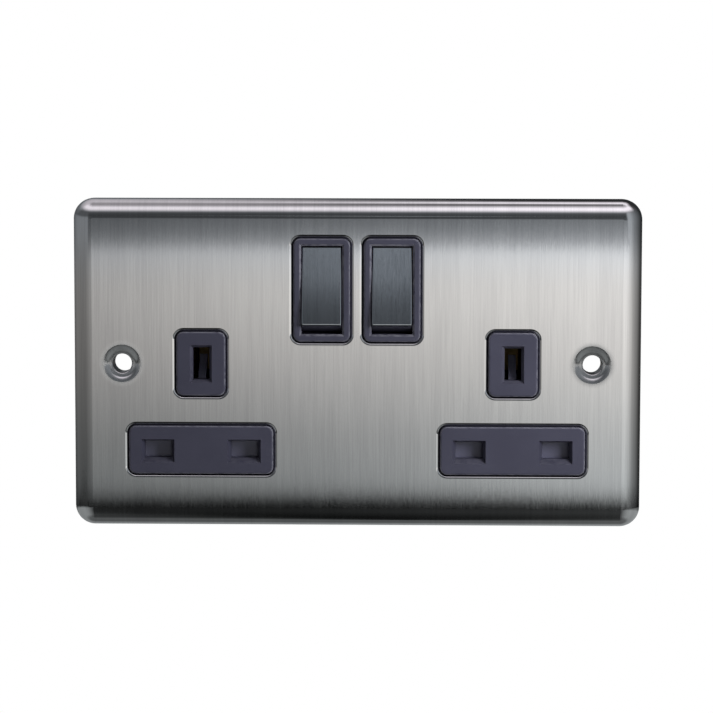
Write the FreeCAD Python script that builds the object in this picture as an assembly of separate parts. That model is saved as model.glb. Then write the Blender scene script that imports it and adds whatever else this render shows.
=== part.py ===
import FreeCAD, Part
import math
import os

# Switched twin socket outlet for three-pin plugs with rectangular pins, made to be screwed to a
# two-gang wall box.
#
# The frame's origin is on the wall plane, midway between the two fixing screws. +Z is up, +X is to the
# right of someone facing the wall, and the front faces -Y, so everything behind the wall plane has a
# positive Y. All sizes are in millimetres.

Vector = FreeCAD.Vector

# Faceplate, a pressed steel tray with rolled edges
fixing_spacing = 120.6
plate_side_margin = 12.7
plate_overhang = 9.25
plate_projection = 7.0
plate_thickness = 1.0
plate_edge_roll = 5.0
plate_corner_extra = 0.2
dimple_radius = 4.45
dimple_slope = 0.87
dimple_depth = 0.65
dimple_floor_rise = 0.15
dimple_bend = 1.5
dimple_edge_break = 0.4
aperture_gap = 0.1
aperture_edge_break = 0.85

# Raised pads of the front moulding, which show through the faceplate
pad_proud = 0.5
pad_corner_radius = 1.9
pad_edge_radius = 0.6
earth_pad_width = 12.7
earth_pad_height = 16.5
line_pad_width = 37.2
line_pad_height = 12.5
bezel_width = 14.6
bezel_height = 26.5

# Pin layout of the plug
socket_spacing = 80.0
line_pin_offset = 11.115
line_pin_drop = 22.23
line_pin_length = 17.7
earth_slot_width = 4.3
earth_slot_height = 8.3
line_slot_width = 7.0
line_slot_height = 4.4
line_slot_chamfer = 0.75
line_slot_bottom_chamfer = 1.15
line_slot_top_chamfer = 0.5
line_slot_chamfer_depth = 2.2
earth_slot_chamfer = 0.68
earth_slot_chamfer_depth = 1.4

# Front moulding behind the faceplate
flange_gap = 1.0
flange_thickness = 2.6
flange_corner_radius = 2.0
pin_to_body_side = 5.885
front_wall = 1.4
inner_corner_radius = 1.6
joint_depth = 3.0
ear_radius = 7.5
ear_thickness = 1.4
ear_counterbore_radius = 5.4

# Rear housing
housing_depth = 19.0
rear_wall = 2.2
floor_thickness = 2.0
lip_height = 1.5
lip_clearance = 0.15
rear_edge_radius = 1.2

# Assembly screws that hold the two mouldings together
assembly_screw_side_x = 51.0
assembly_screw_side_z = -7.0
assembly_screw_middle_x = 12.0
assembly_screw_middle_z = -14.0
assembly_shank_radius = 1.25
assembly_head_radius = 2.8
assembly_head_height = 1.4
assembly_boss_radius = 3.3
assembly_grip_length = 4.5
thread_clearance = 0.05
head_clearance = 0.3

# Fixing eyelets and the tags that earth the faceplate
eyelet_bore_radius = 2.45
eyelet_tube_radius = 3.0
eyelet_flange_radius = 4.6
eyelet_flange_thickness = 0.6
tag_thickness = 0.6
tag_width = 5.0
tag_ring_radius = 5.0
tag_leg_x = 48.3
tag_bend = 0.8
tag_clearance = 0.1

# Rocker switches
switch_spacing = 18.0
switch_height = 19.0
well_width = 10.5
well_height = 22.6
well_side_wall = 1.6
well_end_wall = 1.3
well_chamfer = 0.5
well_back_depth = 1.3
rocker_pivot_depth = -0.8
rocker_reach = 7.0
rocker_length = 20.2
rocker_side_gap = 0.2
rocker_end_gap = 0.2
rocker_wall = 1.2
rocker_skirt_depth = 2.0
rocker_rest_angle = -8.5
cap_thickness = 0.4
cap_depth = 1.3
cap_edge_radius = 0.25
trunnion_radius = 1.5
trunnion_clearance = 0.05
trunnion_tip_gap = 0.2
keeper_gap = 0.15
stem_radius = 2.3
stem_reach = 4.6
stem_bore_radius = 1.65
stem_bore_start = -3.8

# Spring plungers in the rockers
plunger_radius = 1.6
plunger_tip_reach = 8.1
plunger_shank_start = 1.0
plunger_nose_radius = 1.5
plunger_spring_radius = 1.4
plunger_spring_wire = 0.35
plunger_spring_turns = 4
wire_sides = 6

# Tilting contacts under the plungers
tilt_rest_angle = 10.0
tilt_nose_gap = 0.05
tilt_thickness = 1.0
tilt_width = 4.8
tilt_arm = 8.5
tilt_overhang = 1.5
tilt_roll_radius = 1.2
tilt_roll_rise = 0.2
tilt_roll_clearance = 0.05
contact_tip_radius = 1.5
contact_tip_height = 0.8
contact_tip_edge = 0.4
tilt_post_width = 4.6
tilt_post_half_height = 1.6
tilt_post_gap = 0.3
tilt_stop_gap = 0.15
tilt_stop_width = 3.0

# Brass straps and pin contacts
strap_thickness = 0.8
clip_thickness = 0.8
clip_bend = 0.9
clip_width = 5.4
clip_mouth_half = 3.4
clip_pinch_half = 2.2
clip_body_half = 3.0
clip_tip_room = 0.8
earth_clip_width = 7.0
earth_clip_mouth_half = 3.0
earth_clip_pinch_half = 2.15
earth_clip_body_half = 2.9
contact_mouth_gap = 0.9
live_arm_width = 3.6
bus_width = 3.4
neutral_strip_width = 2.6
neutral_bar_width = 3.2
neutral_bar_gap = 1.0
earth_bar_width = 5.0
earth_arm_width = 4.0

# Terminals, in line along the top
terminal_height = 24.0
line_terminal_x = 34.0
earth_terminal_x = 47.5
terminal_width = 8.4
terminal_length = 9.0
terminal_front_depth = 9.2
terminal_edge = 0.5
wire_bore_radius = 2.1
wire_bore_depth = 12.0
terminal_screw_radius = 1.7
terminal_screw_head_radius = 3.1
terminal_screw_head_height = 2.2
terminal_screw_backed_out = 0.2
terminal_window = 7.6
wire_notch_margin = 1.4
barrier_thickness = 1.2
barrier_front_depth = 6.0

# Sliding shutters
shutter_thickness = 1.6
shutter_clearance = 0.1
shutter_travel = 5.8
shutter_side_gap = 0.4
shutter_top_strip = 1.1
shutter_overlap = 0.35
shutter_window_margin = 0.35
shutter_stem_half_width = 3.6
shutter_slope_drop = 0.9
ramp_width = 2.0
ramp_depth = 6.2
ramp_rib = 4.4
retainer_thickness = 1.2
retainer_stem_half_width = 7.4
retainer_top_margin = 1.4
pillar_offset = 5.6
pillar_height = -7.0
pillar_radius = 1.1
peg_width = 2.4
peg_height = 1.6
guide_rib = 0.8
shutter_spring_radius = 1.2
shutter_spring_wire = 0.3
shutter_spring_turns = 6
shutter_spring_room = 0.15

# Sizes, depths and heights that follow from the values above
body_width = socket_spacing + 2 * (line_pin_offset + pin_to_body_side)
body_height = 2 * (switch_height + well_height / 2 + well_end_wall + front_wall)
body_corner_radius = inner_corner_radius + front_wall
plate_width = fixing_spacing + 2 * plate_side_margin
plate_height = body_height + 2 * plate_overhang
plate_corner_radius = plate_edge_roll + plate_corner_extra
flange_width = plate_width - 2 * (plate_edge_roll + flange_gap)
flange_height = plate_height - 2 * (plate_edge_roll + flange_gap)
shutter_half_width = line_pin_offset + pin_to_body_side - front_wall - shutter_side_gap
face_y = -plate_projection
plate_back_y = face_y + plate_thickness
pad_front_y = face_y - pad_proud
flange_back_y = plate_back_y + flange_thickness
ear_back_y = flange_back_y + ear_thickness
floor_y = housing_depth - floor_thickness
shutter_front_y = flange_back_y + shutter_clearance
shutter_back_y = shutter_front_y + shutter_thickness
retainer_front_y = shutter_back_y + 2 * shutter_clearance
retainer_back_y = retainer_front_y + retainer_thickness
line_base_y = pad_front_y + line_pin_length + clip_tip_room
strap_front_y = line_base_y + clip_thickness
strap_back_y = strap_front_y + strap_thickness
earth_strap_front_y = floor_y - strap_thickness
earth_base_y = earth_strap_front_y - clip_thickness
contact_mouth_y = retainer_back_y + contact_mouth_gap
eyelet_front_y = face_y + dimple_depth + plate_thickness
eyelet_seat_y = eyelet_front_y + eyelet_flange_thickness
pivot_y = rocker_pivot_depth
tilt_pivot_y = (
    pivot_y + plunger_tip_reach + tilt_nose_gap + tilt_thickness + tilt_roll_rise
)
line_z = -line_pin_drop
inner_front_width = body_width - 2 * front_wall
inner_front_height = body_height - 2 * front_wall
inner_rear_width = body_width - 2 * rear_wall
inner_rear_height = body_height - 2 * rear_wall
bus_z = switch_height + tilt_arm
terminal_bottom_z = terminal_height - terminal_length / 2
terminal_top_z = terminal_height + terminal_length / 2
terminal_strap_y = terminal_front_depth - strap_thickness
shutter_blade_bottom = line_z - line_slot_height / 2 - shutter_overlap
shutter_blade_top = line_z + line_slot_height / 2 + shutter_overlap
shutter_window_top = (
    line_z + shutter_travel + line_slot_height / 2 + shutter_window_margin
)
shutter_bar_top = shutter_window_top + shutter_top_strip
shutter_stem_top = -earth_slot_height / 2 - shutter_overlap
peg_bottom_z = shutter_blade_bottom + peg_height / 2
peg_top_z = peg_bottom_z + peg_height
spring_slot_top = shutter_stem_top - shutter_travel

SIDES = {"left": -1, "right": 1}


def rectangle(width, height, radius, y, x=0.0, z=0.0):
    """Closed wire of a rounded rectangle that faces the wall, centred at (x, z)."""
    half_w = width / 2
    half_h = height / 2
    if radius <= 0:
        corners = [(-half_w, -half_h), (half_w, -half_h), (half_w, half_h), (-half_w, half_h)]
        points = [Vector(x + a, y, z + b) for a, b in corners]
        return Part.makePolygon(points + points[:1])
    edges = []
    ends = []
    for quarter, (sx, sz) in enumerate([(1, -1), (1, 1), (-1, 1), (-1, -1)]):
        centre = Vector(x + sx * (half_w - radius), y, z + sz * (half_h - radius))
        start = math.radians(-90 + 90 * quarter)
        arc = [
            centre + Vector(math.cos(a), 0, math.sin(a)) * radius
            for a in (start, start + math.pi / 4, start + math.pi / 2)
        ]
        if ends:
            edges.append(Part.LineSegment(ends[-1], arc[0]).toShape())
        edges.append(Part.Arc(*arc).toShape())
        ends += [arc[0], arc[2]]
    edges.append(Part.LineSegment(ends[-1], ends[0]).toShape())
    return Part.Wire(edges)


def block(width, height, radius, y_front, y_back, x=0.0, z=0.0):
    """Rounded block between two depths."""
    face = Part.Face(rectangle(width, height, radius, y_front, x, z))
    return face.extrude(Vector(0, y_back - y_front, 0))


def span(x0, x1, y0, y1, z0, z1):
    """Plain box between two corners, given in any order."""
    low = Vector(min(x0, x1), min(y0, y1), min(z0, z1))
    return Part.makeBox(abs(x1 - x0), abs(y1 - y0), abs(z1 - z0), low)


def rod(radius, y_front, y_back, x, z):
    """Round rod along the depth."""
    return Part.makeCylinder(radius, y_back - y_front, Vector(x, y_front, z), Vector(0, 1, 0))


def funnel(width, height, side, below, above, y_front, y_back, x, z):
    """Tapered opening, wider at the front by the given amounts at each side, below and above."""
    middle = z + (above - below) / 2
    wires = [
        rectangle(width + 2 * side, height + below + above, 0, y_front, x, middle),
        rectangle(width, height, 0, y_back, x, z),
    ]
    return Part.makeLoft(wires, True, True)


def prism(points, place, sweep):
    """Straight prism on a polygon, whose points place() puts in space."""
    corners = [place(a, b) for a, b in points]
    return Part.Face(Part.makePolygon(corners + corners[:1])).extrude(sweep)


def front_edges(shape, y, x, z, width, height):
    """Edges of shape in the plane at depth y that lie inside a window centred at (x, z)."""
    found = []
    for edge in shape.Edges:
        box = edge.BoundBox
        flat = abs(box.YMin - y) < 1e-4 and abs(box.YMax - y) < 1e-4
        inside = (
            box.XMin > x - width / 2 - 1e-3
            and box.XMax < x + width / 2 + 1e-3
            and box.ZMin > z - height / 2 - 1e-3
            and box.ZMax < z + height / 2 + 1e-3
        )
        if flat and inside:
            found.append(edge)
    return found


def bent_strip(path, thickness, bend_radius, place, sweep):
    """Folded sheet-metal strip: a centre line of straight runs with round bends, given thickness and swept."""
    half = thickness / 2
    flat = [Vector(a, b, 0) for a, b in path]
    runs = [(b - a).normalize() for a, b in zip(flat, flat[1:])]

    def beside(point, direction, side):
        shifted = point + Vector(-direction.y, direction.x, 0) * (side * half)
        return place(shifted.x, shifted.y)

    def bend(index):
        before = runs[index - 1]
        after = runs[index]
        corner = flat[index]
        turn = before.getAngle(after)
        reach = bend_radius * math.tan(turn / 2)
        middle_run = (before + after).normalize()
        inward = (after - before).normalize()
        middle = corner + inward * (bend_radius / math.cos(turn / 2) - bend_radius)
        return [
            (corner - before * reach, before),
            (middle, middle_run),
            (corner + after * reach, after),
        ]

    def side_edges(side):
        edges = []
        last = beside(flat[0], runs[0], side)
        for index in range(1, len(flat) - 1):
            arc = [beside(point, run, side) for point, run in bend(index)]
            edges.append(Part.LineSegment(last, arc[0]).toShape())
            edges.append(Part.Arc(*arc).toShape())
            last = arc[2]
        edges.append(Part.LineSegment(last, beside(flat[-1], runs[-1], side)).toShape())
        return edges

    caps = [
        Part.LineSegment(beside(flat[i], runs[i], 1), beside(flat[i], runs[i], -1)).toShape()
        for i in (0, -1)
    ]
    edges = side_edges(1) + [caps[1]] + side_edges(-1)[::-1] + [caps[0]]
    return Part.Face(Part.Wire(edges)).extrude(sweep)


def coil_spring(radius, wire, length, turns, start, direction):
    """Open compression spring of fine wire, from start along direction."""
    mean = radius - wire / 2
    height = length - wire
    helix = Part.makeHelix(height / turns, height, mean)
    turns_round = [2 * math.pi * i / wire_sides for i in range(wire_sides + 1)]
    rim = [Vector(mean, 0, 0) + Vector(math.cos(a), 0, math.sin(a)) * (wire / 2) for a in turns_round]
    section = Part.makePolygon(rim)
    spring = Part.Wire(helix).makePipeShell([section], True, True)
    spring.translate(Vector(0, 0, wire / 2))
    turn = FreeCAD.Rotation(Vector(0, 0, 1), direction)
    spring.Placement = FreeCAD.Placement(start, turn).multiply(spring.Placement)
    return spring


def socket_x(side):
    """Centre line of the left or right socket."""
    return SIDES[side] * socket_spacing / 2


def switch_x(side):
    """Centre line of the left or right switch."""
    return SIDES[side] * switch_spacing / 2


def pads():
    """Every raised pad as (x, z, width, height)."""
    found = []
    for side in SIDES:
        found.append((socket_x(side), 0.0, earth_pad_width, earth_pad_height))
        found.append((socket_x(side), line_z, line_pad_width, line_pad_height))
        found.append((switch_x(side), switch_height, bezel_width, bezel_height))
    return found


def line_pins():
    """Centre lines of the live and neutral pins, left to right."""
    return [socket_x(s) + d * line_pin_offset for s in SIDES for d in (-1, 1)]


def assembly_points():
    """Places of the screws that join the two mouldings."""
    outer = [(s * assembly_screw_side_x, assembly_screw_side_z) for s in (-1, 1)]
    inner = [(s * assembly_screw_middle_x, assembly_screw_middle_z) for s in (-1, 1)]
    return outer + inner


def plate_tray(shrink):
    """Solid rounded tray form of the faceplate, shrunk by a wall on every side but the back."""
    tray = block(
        plate_width - 2 * shrink,
        plate_height - 2 * shrink,
        plate_corner_radius - shrink,
        face_y + shrink,
        0.0,
    )
    rim = front_edges(tray, face_y + shrink, 0, 0, plate_width, plate_height)
    return tray.makeFillet(plate_edge_roll - shrink, rim)


def faceplate():
    """Pressed plate with apertures for the pads and two dimples for the fixing screws."""
    plate = plate_tray(0).cut(plate_tray(plate_thickness))
    for x, z, width, height in pads():
        opening = (width + 2 * aperture_gap, height + 2 * aperture_gap)
        radius = pad_corner_radius + aperture_gap
        plate = plate.cut(block(*opening, radius, face_y - 1, plate_back_y + 1, x, z))
    rims = []
    for x, z, width, height in pads():
        margin = 2 * aperture_gap
        rims += front_edges(plate, face_y, x, z, width + margin, height + margin)
    plate = plate.makeFillet(aperture_edge_break, rims)
    middle_y = face_y + plate_thickness / 2
    outer = dimple_radius + dimple_bend
    bowl_y = middle_y + dimple_depth
    path = [
        (outer, middle_y),
        (dimple_radius, middle_y),
        (dimple_radius - dimple_slope, bowl_y - dimple_floor_rise),
        (eyelet_bore_radius - plate_thickness / 2, bowl_y),
    ]
    for sign in SIDES.values():
        x = sign * fixing_spacing / 2
        plate = plate.cut(rod(outer, face_y - 1, plate_back_y + 1, x, 0))
        section = bent_strip(
            path, plate_thickness, dimple_bend, lambda r, y: Vector(x + r, y, 0), Vector(0, 0, 1)
        )
        flat = [f for f in section.Faces if abs(f.CenterOfMass.z) < 1e-6][0]
        plate = plate.fuse(flat.revolve(Vector(x, 0, 0), Vector(0, 1, 0), 360))
        plate = plate.cut(rod(eyelet_bore_radius, face_y - 1, 0, x, 0))
    plate = plate.removeSplitter()
    return plate.makeFillet(dimple_edge_break, hole_edges(plate))


def hole_edges(plate):
    """Front edges of the two fixing holes in the plate."""
    circles = [e for e in plate.Edges if e.Curve.TypeId == "Part::GeomCircle"]
    edges = []
    for sign in SIDES.values():
        axis = Vector(sign * fixing_spacing / 2, 0, 0)
        rims = [
            e
            for e in circles
            if abs(e.Curve.Radius - eyelet_bore_radius) < 1e-4
            and e.Curve.Center.distanceToLine(axis, Vector(0, 1, 0)) < 1e-4
        ]
        edges.append(min(rims, key=lambda e: e.Curve.Center.y))
    return edges


def rocker_well(side):
    """Walls round a rocker, with bearing slots for its trunnions, and the space inside them."""
    x = switch_x(side)
    width = well_width + 2 * well_side_wall
    height = well_height + 2 * well_end_wall
    walls = block(width, height, 0, flange_back_y, well_back_depth, x, switch_height)
    space = block(well_width, well_height, 0, pad_front_y - 1, well_back_depth + 1, x, switch_height)
    chamfer = funnel(
        well_width,
        well_height,
        well_chamfer,
        well_chamfer,
        well_chamfer,
        pad_front_y,
        pad_front_y + well_chamfer,
        x,
        switch_height,
    )
    bearing_radius = trunnion_radius + trunnion_clearance
    axle = Part.makeCylinder(
        bearing_radius, width, Vector(x - width / 2, pivot_y, switch_height), Vector(1, 0, 0)
    )
    slot = span(
        x - width / 2,
        x + width / 2,
        pivot_y,
        well_back_depth,
        switch_height - bearing_radius,
        switch_height + bearing_radius,
    )
    return walls, space.fuse([chamfer, axle, slot])


def shutter_guides(side):
    """Ribs, stops, pillars and spring peg on the back of the front moulding."""
    x = socket_x(side)
    low = -inner_front_height / 2
    back = shutter_back_y
    pieces = []
    for sign in (-1, 1):
        rib = x + sign * (shutter_half_width + shutter_clearance)
        pieces.append(span(rib, rib + sign * guide_rib, flange_back_y, back, low, shutter_bar_top))
        stop = (x + sign * shutter_half_width, x + sign * (shutter_stem_half_width + guide_rib))
        stop_z = shutter_bar_top + shutter_clearance
        pieces.append(span(*stop, flange_back_y, back, stop_z, stop_z + guide_rib))
        pillar_x = x + sign * pillar_offset
        pieces.append(
            rod(pillar_radius, flange_back_y, retainer_back_y + guide_rib, pillar_x, pillar_height)
        )
    half_peg = peg_width / 2
    pieces.append(
        span(x - half_peg, x + half_peg, flange_back_y, retainer_back_y, peg_bottom_z, peg_top_z)
    )
    return pieces


def front_moulding():
    """One-piece moulding: flange, raised pads, rocker wells, side walls and everything that guides the shutters."""
    body = block(
        flange_width, flange_height, flange_corner_radius, plate_back_y, flange_back_y
    )
    walls = block(body_width, body_height, body_corner_radius, flange_back_y, joint_depth)
    inside = block(
        inner_front_width,
        inner_front_height,
        inner_corner_radius,
        flange_back_y,
        joint_depth,
    )
    body = body.fuse(walls.cut(inside))
    for x, z, width, height in pads():
        pad = block(width, height, pad_corner_radius, pad_front_y, plate_back_y, x, z)
        rim = front_edges(pad, pad_front_y, x, z, width, height)
        body = body.fuse(pad.makeFillet(pad_edge_radius, rim))
    additions = []
    removals = []
    for side, sign in SIDES.items():
        well, space = rocker_well(side)
        additions.append(well)
        removals.append(space)
        additions += shutter_guides(side)
        groove = shutter_spring_radius + shutter_spring_room
        removals.append(
            span(
                socket_x(side) - groove,
                socket_x(side) + groove,
                flange_back_y,
                (shutter_front_y + shutter_back_y) / 2 - groove,
                peg_top_z,
                spring_slot_top,
            )
        )
        x = sign * fixing_spacing / 2
        additions.append(rod(ear_radius, flange_back_y, ear_back_y, x, 0))
        removals.append(rod(ear_counterbore_radius, plate_back_y - 1, eyelet_seat_y, x, 0))
        removals.append(rod(eyelet_tube_radius + thread_clearance, eyelet_seat_y, ear_back_y, x, 0))
        tag_slot = tag_width / 2 + tag_clearance
        tag_depth = ear_back_y + tag_thickness + tag_clearance
        removals.append(
            span(
                sign * (inner_front_width / 2 - 1), x, ear_back_y, tag_depth, -tag_slot, tag_slot
            )
        )
        removals.append(rod(tag_ring_radius + tag_clearance, ear_back_y, tag_depth, x, 0))
        removals += pin_slots(socket_x(side))
    for x, z in assembly_points():
        additions.append(rod(assembly_boss_radius, flange_back_y, joint_depth, x, z))
        removals.append(
            rod(
                assembly_shank_radius + thread_clearance,
                joint_depth - assembly_grip_length - 1,
                joint_depth,
                x,
                z,
            )
        )
    return body.fuse(additions).cut(removals).removeSplitter()


def pin_slots(x):
    """The three pin openings of one socket, each with a chamfered mouth."""
    line_grow = (line_slot_chamfer, line_slot_bottom_chamfer, line_slot_top_chamfer)
    line_mouth = (pad_front_y, pad_front_y + line_slot_chamfer_depth)
    earth_mouth = (pad_front_y, pad_front_y + earth_slot_chamfer_depth)
    earth_size = (earth_slot_width, earth_slot_height)
    line_size = (line_slot_width, line_slot_height)
    cuts = [funnel(*earth_size, *[earth_slot_chamfer] * 3, *earth_mouth, x, 0.0)]
    places = [(earth_size, x, 0.0)]
    for sign in (-1, 1):
        slot_x = x + sign * line_pin_offset
        cuts.append(funnel(*line_size, *line_grow, *line_mouth, slot_x, line_z))
        places.append((line_size, slot_x, line_z))
    for size, slot_x, slot_z in places:
        cuts.append(block(*size, 0, pad_front_y - 1, flange_back_y + 1, slot_x, slot_z))
    return cuts


def terminal_xs():
    """Places of the four terminals along the top."""
    return [s * x for s in (-1, 1) for x in (line_terminal_x, earth_terminal_x)]


def rear_housing():
    """Deep tray that holds the contacts, with screw posts, strap supports, windows and wire notches."""
    tray = block(body_width, body_height, body_corner_radius, joint_depth, housing_depth)
    rim = front_edges(tray, housing_depth, 0, 0, body_width, body_height)
    tray = tray.makeFillet(rear_edge_radius, rim)
    corner = inner_corner_radius
    inside = block(inner_rear_width, inner_rear_height, corner / 2, joint_depth, floor_y)
    lip_outer = block(
        inner_front_width - 2 * lip_clearance,
        inner_front_height - 2 * lip_clearance,
        corner,
        joint_depth - lip_height,
        joint_depth,
    )
    lip_inner = block(
        inner_rear_width, inner_rear_height, corner / 2, joint_depth - lip_height, joint_depth
    )
    additions = [lip_outer.cut(lip_inner)]
    removals = []
    for x, z in assembly_points():
        additions.append(rod(assembly_boss_radius, joint_depth, floor_y, x, z))
        removals.append(rod(assembly_shank_radius + head_clearance, joint_depth, housing_depth, x, z))
        seat = housing_depth - assembly_head_height
        removals.append(rod(assembly_head_radius + head_clearance, seat, housing_depth, x, z))
    for x in line_pins():
        additions.append(block(clip_width, clip_width, 0, strap_back_y, floor_y, x, line_z))
    for side in SIDES:
        additions += switch_supports(switch_x(side))
    for x in terminal_xs():
        window = (terminal_window, terminal_window, 1.0)
        removals.append(block(*window, floor_y, housing_depth, x, terminal_height))
        notch = wire_bore_radius + wire_notch_margin
        removals.append(
            span(
                x - notch,
                x + notch,
                wire_bore_depth - notch,
                wire_bore_depth + notch,
                terminal_top_z,
                body_height / 2 + 1,
            )
        )
    for sign in (-1, 1):
        x = sign * (line_terminal_x + earth_terminal_x) / 2
        half = barrier_thickness / 2
        barrier_top = inner_rear_height / 2
        additions.append(
            span(x - half, x + half, barrier_front_depth, floor_y, terminal_bottom_z, barrier_top)
        )
    return tray.cut(inside).fuse(additions).cut(removals).removeSplitter()


def switch_supports(x):
    """Trunnion keepers, strap supports and the stop of the tilting contact, for one switch."""
    keeper_half = trunnion_radius
    keeper_front = pivot_y + trunnion_radius + keeper_gap
    pieces = []
    for sign in (-1, 1):
        inner = x + sign * well_width / 2
        pieces.append(
            span(
                inner,
                inner + sign * well_side_wall,
                keeper_front,
                floor_y,
                switch_height - keeper_half,
                switch_height + keeper_half,
            )
        )
    post = (tilt_post_width, 2 * tilt_post_half_height, 0)
    pieces.append(block(*post, strap_back_y, floor_y, x, switch_height))
    pieces.append(block(tilt_post_width, bus_width, 0, strap_back_y, floor_y, x, bus_z))
    angle = math.radians(tilt_rest_angle)
    stop_arm = tilt_arm + tilt_overhang / 2
    stop_y = (
        tilt_pivot_y
        - tilt_roll_rise * math.cos(angle)
        + (tilt_arm + tilt_overhang) * math.sin(angle)
        + tilt_stop_gap
    )
    stop = (tilt_stop_width, tilt_overhang, 0)
    pieces.append(block(*stop, stop_y, floor_y, x, switch_height - stop_arm))
    return pieces


def fixing_eyelet(side):
    """Flanged brass tube that the fixing screw passes through."""
    x = SIDES[side] * fixing_spacing / 2
    eyelet = rod(eyelet_flange_radius, eyelet_front_y, eyelet_seat_y, x, 0)
    eyelet = eyelet.fuse(rod(eyelet_tube_radius, eyelet_front_y, 0.0, x, 0))
    return eyelet.cut(rod(eyelet_bore_radius, eyelet_front_y, 0.0, x, 0)).removeSplitter()


def earth_tag(side):
    """Folded strip from the eyelet through the side wall and back to the earth bar."""
    sign = SIDES[side]
    x = sign * fixing_spacing / 2
    middle_y = ear_back_y + tag_thickness / 2
    path = [(x, middle_y), (sign * tag_leg_x, middle_y), (sign * tag_leg_x, earth_strap_front_y)]
    half = tag_width / 2
    strip = bent_strip(
        path, tag_thickness, tag_bend, lambda a, b: Vector(a, b, -half), Vector(0, 0, tag_width)
    )
    ring = rod(tag_ring_radius, ear_back_y, ear_back_y + tag_thickness, x, 0)
    hole_radius = eyelet_tube_radius + thread_clearance
    hole = rod(hole_radius, ear_back_y, ear_back_y + tag_thickness, x, 0)
    return strip.fuse(ring).cut(hole).removeSplitter()


def drum(radius, width, front, back):
    """Slice of a round bar along X, between two depths on either side of its axis."""
    bar = Part.makeCylinder(radius, width, Vector(-width / 2, 0, 0), Vector(1, 0, 0))
    return bar.common(span(-width, width, front, back, -radius, radius))


def rocker(side):
    """Hollow rocker with curved ends, trunnions and a tubular stem for the plunger."""
    width = well_width - 2 * rocker_side_gap
    inner_width = width - 2 * rocker_wall
    half = rocker_length / 2
    end_radius = well_height / 2 - rocker_end_gap
    collar = cap_depth - rocker_reach
    shoulder = -math.sqrt(end_radius**2 - half**2)
    outer = drum(end_radius, width, shoulder, rocker_skirt_depth)
    outer = outer.fuse(block(width, rocker_length, 0, collar, shoulder))
    hollow = drum(
        end_radius - rocker_wall, inner_width, collar + rocker_wall, rocker_skirt_depth + 1
    )
    plateau = block(
        width - 2 * cap_thickness,
        rocker_length - 2 * cap_thickness,
        0,
        cap_thickness - rocker_reach,
        collar,
    )
    stem = rod(stem_radius, collar + rocker_wall / 2, stem_reach, 0, 0)
    bore = rod(stem_bore_radius, stem_bore_start, stem_reach, 0, 0)
    trunnion_length = well_width + 2 * (well_side_wall - trunnion_tip_gap)
    axle = drum(trunnion_radius, trunnion_length, -trunnion_radius, trunnion_radius)
    gap = block(inner_width, 4 * trunnion_radius, 0, -2 * trunnion_radius, 2 * trunnion_radius)
    body = outer.cut(hollow).fuse([plateau, stem, axle.cut(gap)]).cut(bore).removeSplitter()
    return at_switch(body, switch_x(side), pivot_y, rocker_rest_angle)


def at_switch(shape, x, y, angle):
    """Turns a shape made about its own pivot to its rest angle, and puts the pivot in place."""
    shape.rotate(Vector(0, 0, 0), Vector(1, 0, 0), angle)
    shape.translate(Vector(x, y, switch_height))
    return shape


def rocker_cap(side):
    """Thin steel cap pressed over the front of the rocker."""
    width = well_width - 2 * rocker_side_gap
    cap = block(width, rocker_length, 0, -rocker_reach, cap_depth - rocker_reach)
    rim = front_edges(cap, -rocker_reach, 0, 0, width, rocker_length)
    cap = cap.makeFillet(cap_edge_radius, rim)
    inside = block(
        width - 2 * cap_thickness,
        rocker_length - 2 * cap_thickness,
        0,
        cap_thickness - rocker_reach,
        cap_depth - rocker_reach,
    )
    return at_switch(cap.cut(inside), switch_x(side), pivot_y, rocker_rest_angle)


def plunger(side):
    """Round-nosed plunger that slides in the rocker's stem."""
    nose_centre = plunger_tip_reach - plunger_nose_radius
    shank = rod(plunger_radius, plunger_shank_start, nose_centre, 0, 0)
    nose = Part.makeSphere(plunger_nose_radius, Vector(0, nose_centre, 0))
    body = shank.fuse(nose).removeSplitter()
    return at_switch(body, switch_x(side), pivot_y, rocker_rest_angle)


def plunger_spring(side):
    """Spring between the bottom of the stem and the plunger."""
    length = plunger_shank_start - stem_bore_start
    spring = coil_spring(
        plunger_spring_radius,
        plunger_spring_wire,
        length,
        plunger_spring_turns,
        Vector(0, stem_bore_start, 0),
        Vector(0, 1, 0),
    )
    return at_switch(spring, switch_x(side), pivot_y, rocker_rest_angle)


def tilting_contact(side):
    """Brass see-saw with a rolled fulcrum across its back."""
    front = -tilt_roll_rise - tilt_thickness
    reach = tilt_arm + tilt_overhang
    strip = block(tilt_width, 2 * reach, 1.0, front, -tilt_roll_rise)
    roll = Part.makeCylinder(
        tilt_roll_radius, tilt_width, Vector(-tilt_width / 2, 0, 0), Vector(1, 0, 0)
    )
    proud = span(-tilt_width, tilt_width, -tilt_roll_radius, -tilt_roll_rise, -reach, reach)
    body = strip.fuse(roll.cut(proud)).removeSplitter()
    return at_switch(body, switch_x(side), tilt_pivot_y, tilt_rest_angle)


def moving_tip(side):
    """Silver contact tip on the back of the see-saw's upper end."""
    start = -tilt_roll_rise
    tip = contact_button(start, start + contact_tip_height, 0, tilt_arm, start + contact_tip_height)
    return at_switch(tip, switch_x(side), tilt_pivot_y, tilt_rest_angle)


def contact_button(y_front, y_back, x, z, rounded_y):
    """Small disc with a rounded face."""
    disc = rod(contact_tip_radius, y_front, y_back, x, z)
    size = 2 * contact_tip_radius
    return disc.makeFillet(contact_tip_edge, front_edges(disc, rounded_y, x, z, size, size))


def fixed_tips():
    """Silver tips on the live bus, one behind each see-saw."""
    start = strap_front_y - contact_tip_height
    tips = [contact_button(start, strap_front_y, switch_x(s), bus_z, start) for s in SIDES]
    return Part.makeCompound(tips)


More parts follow.
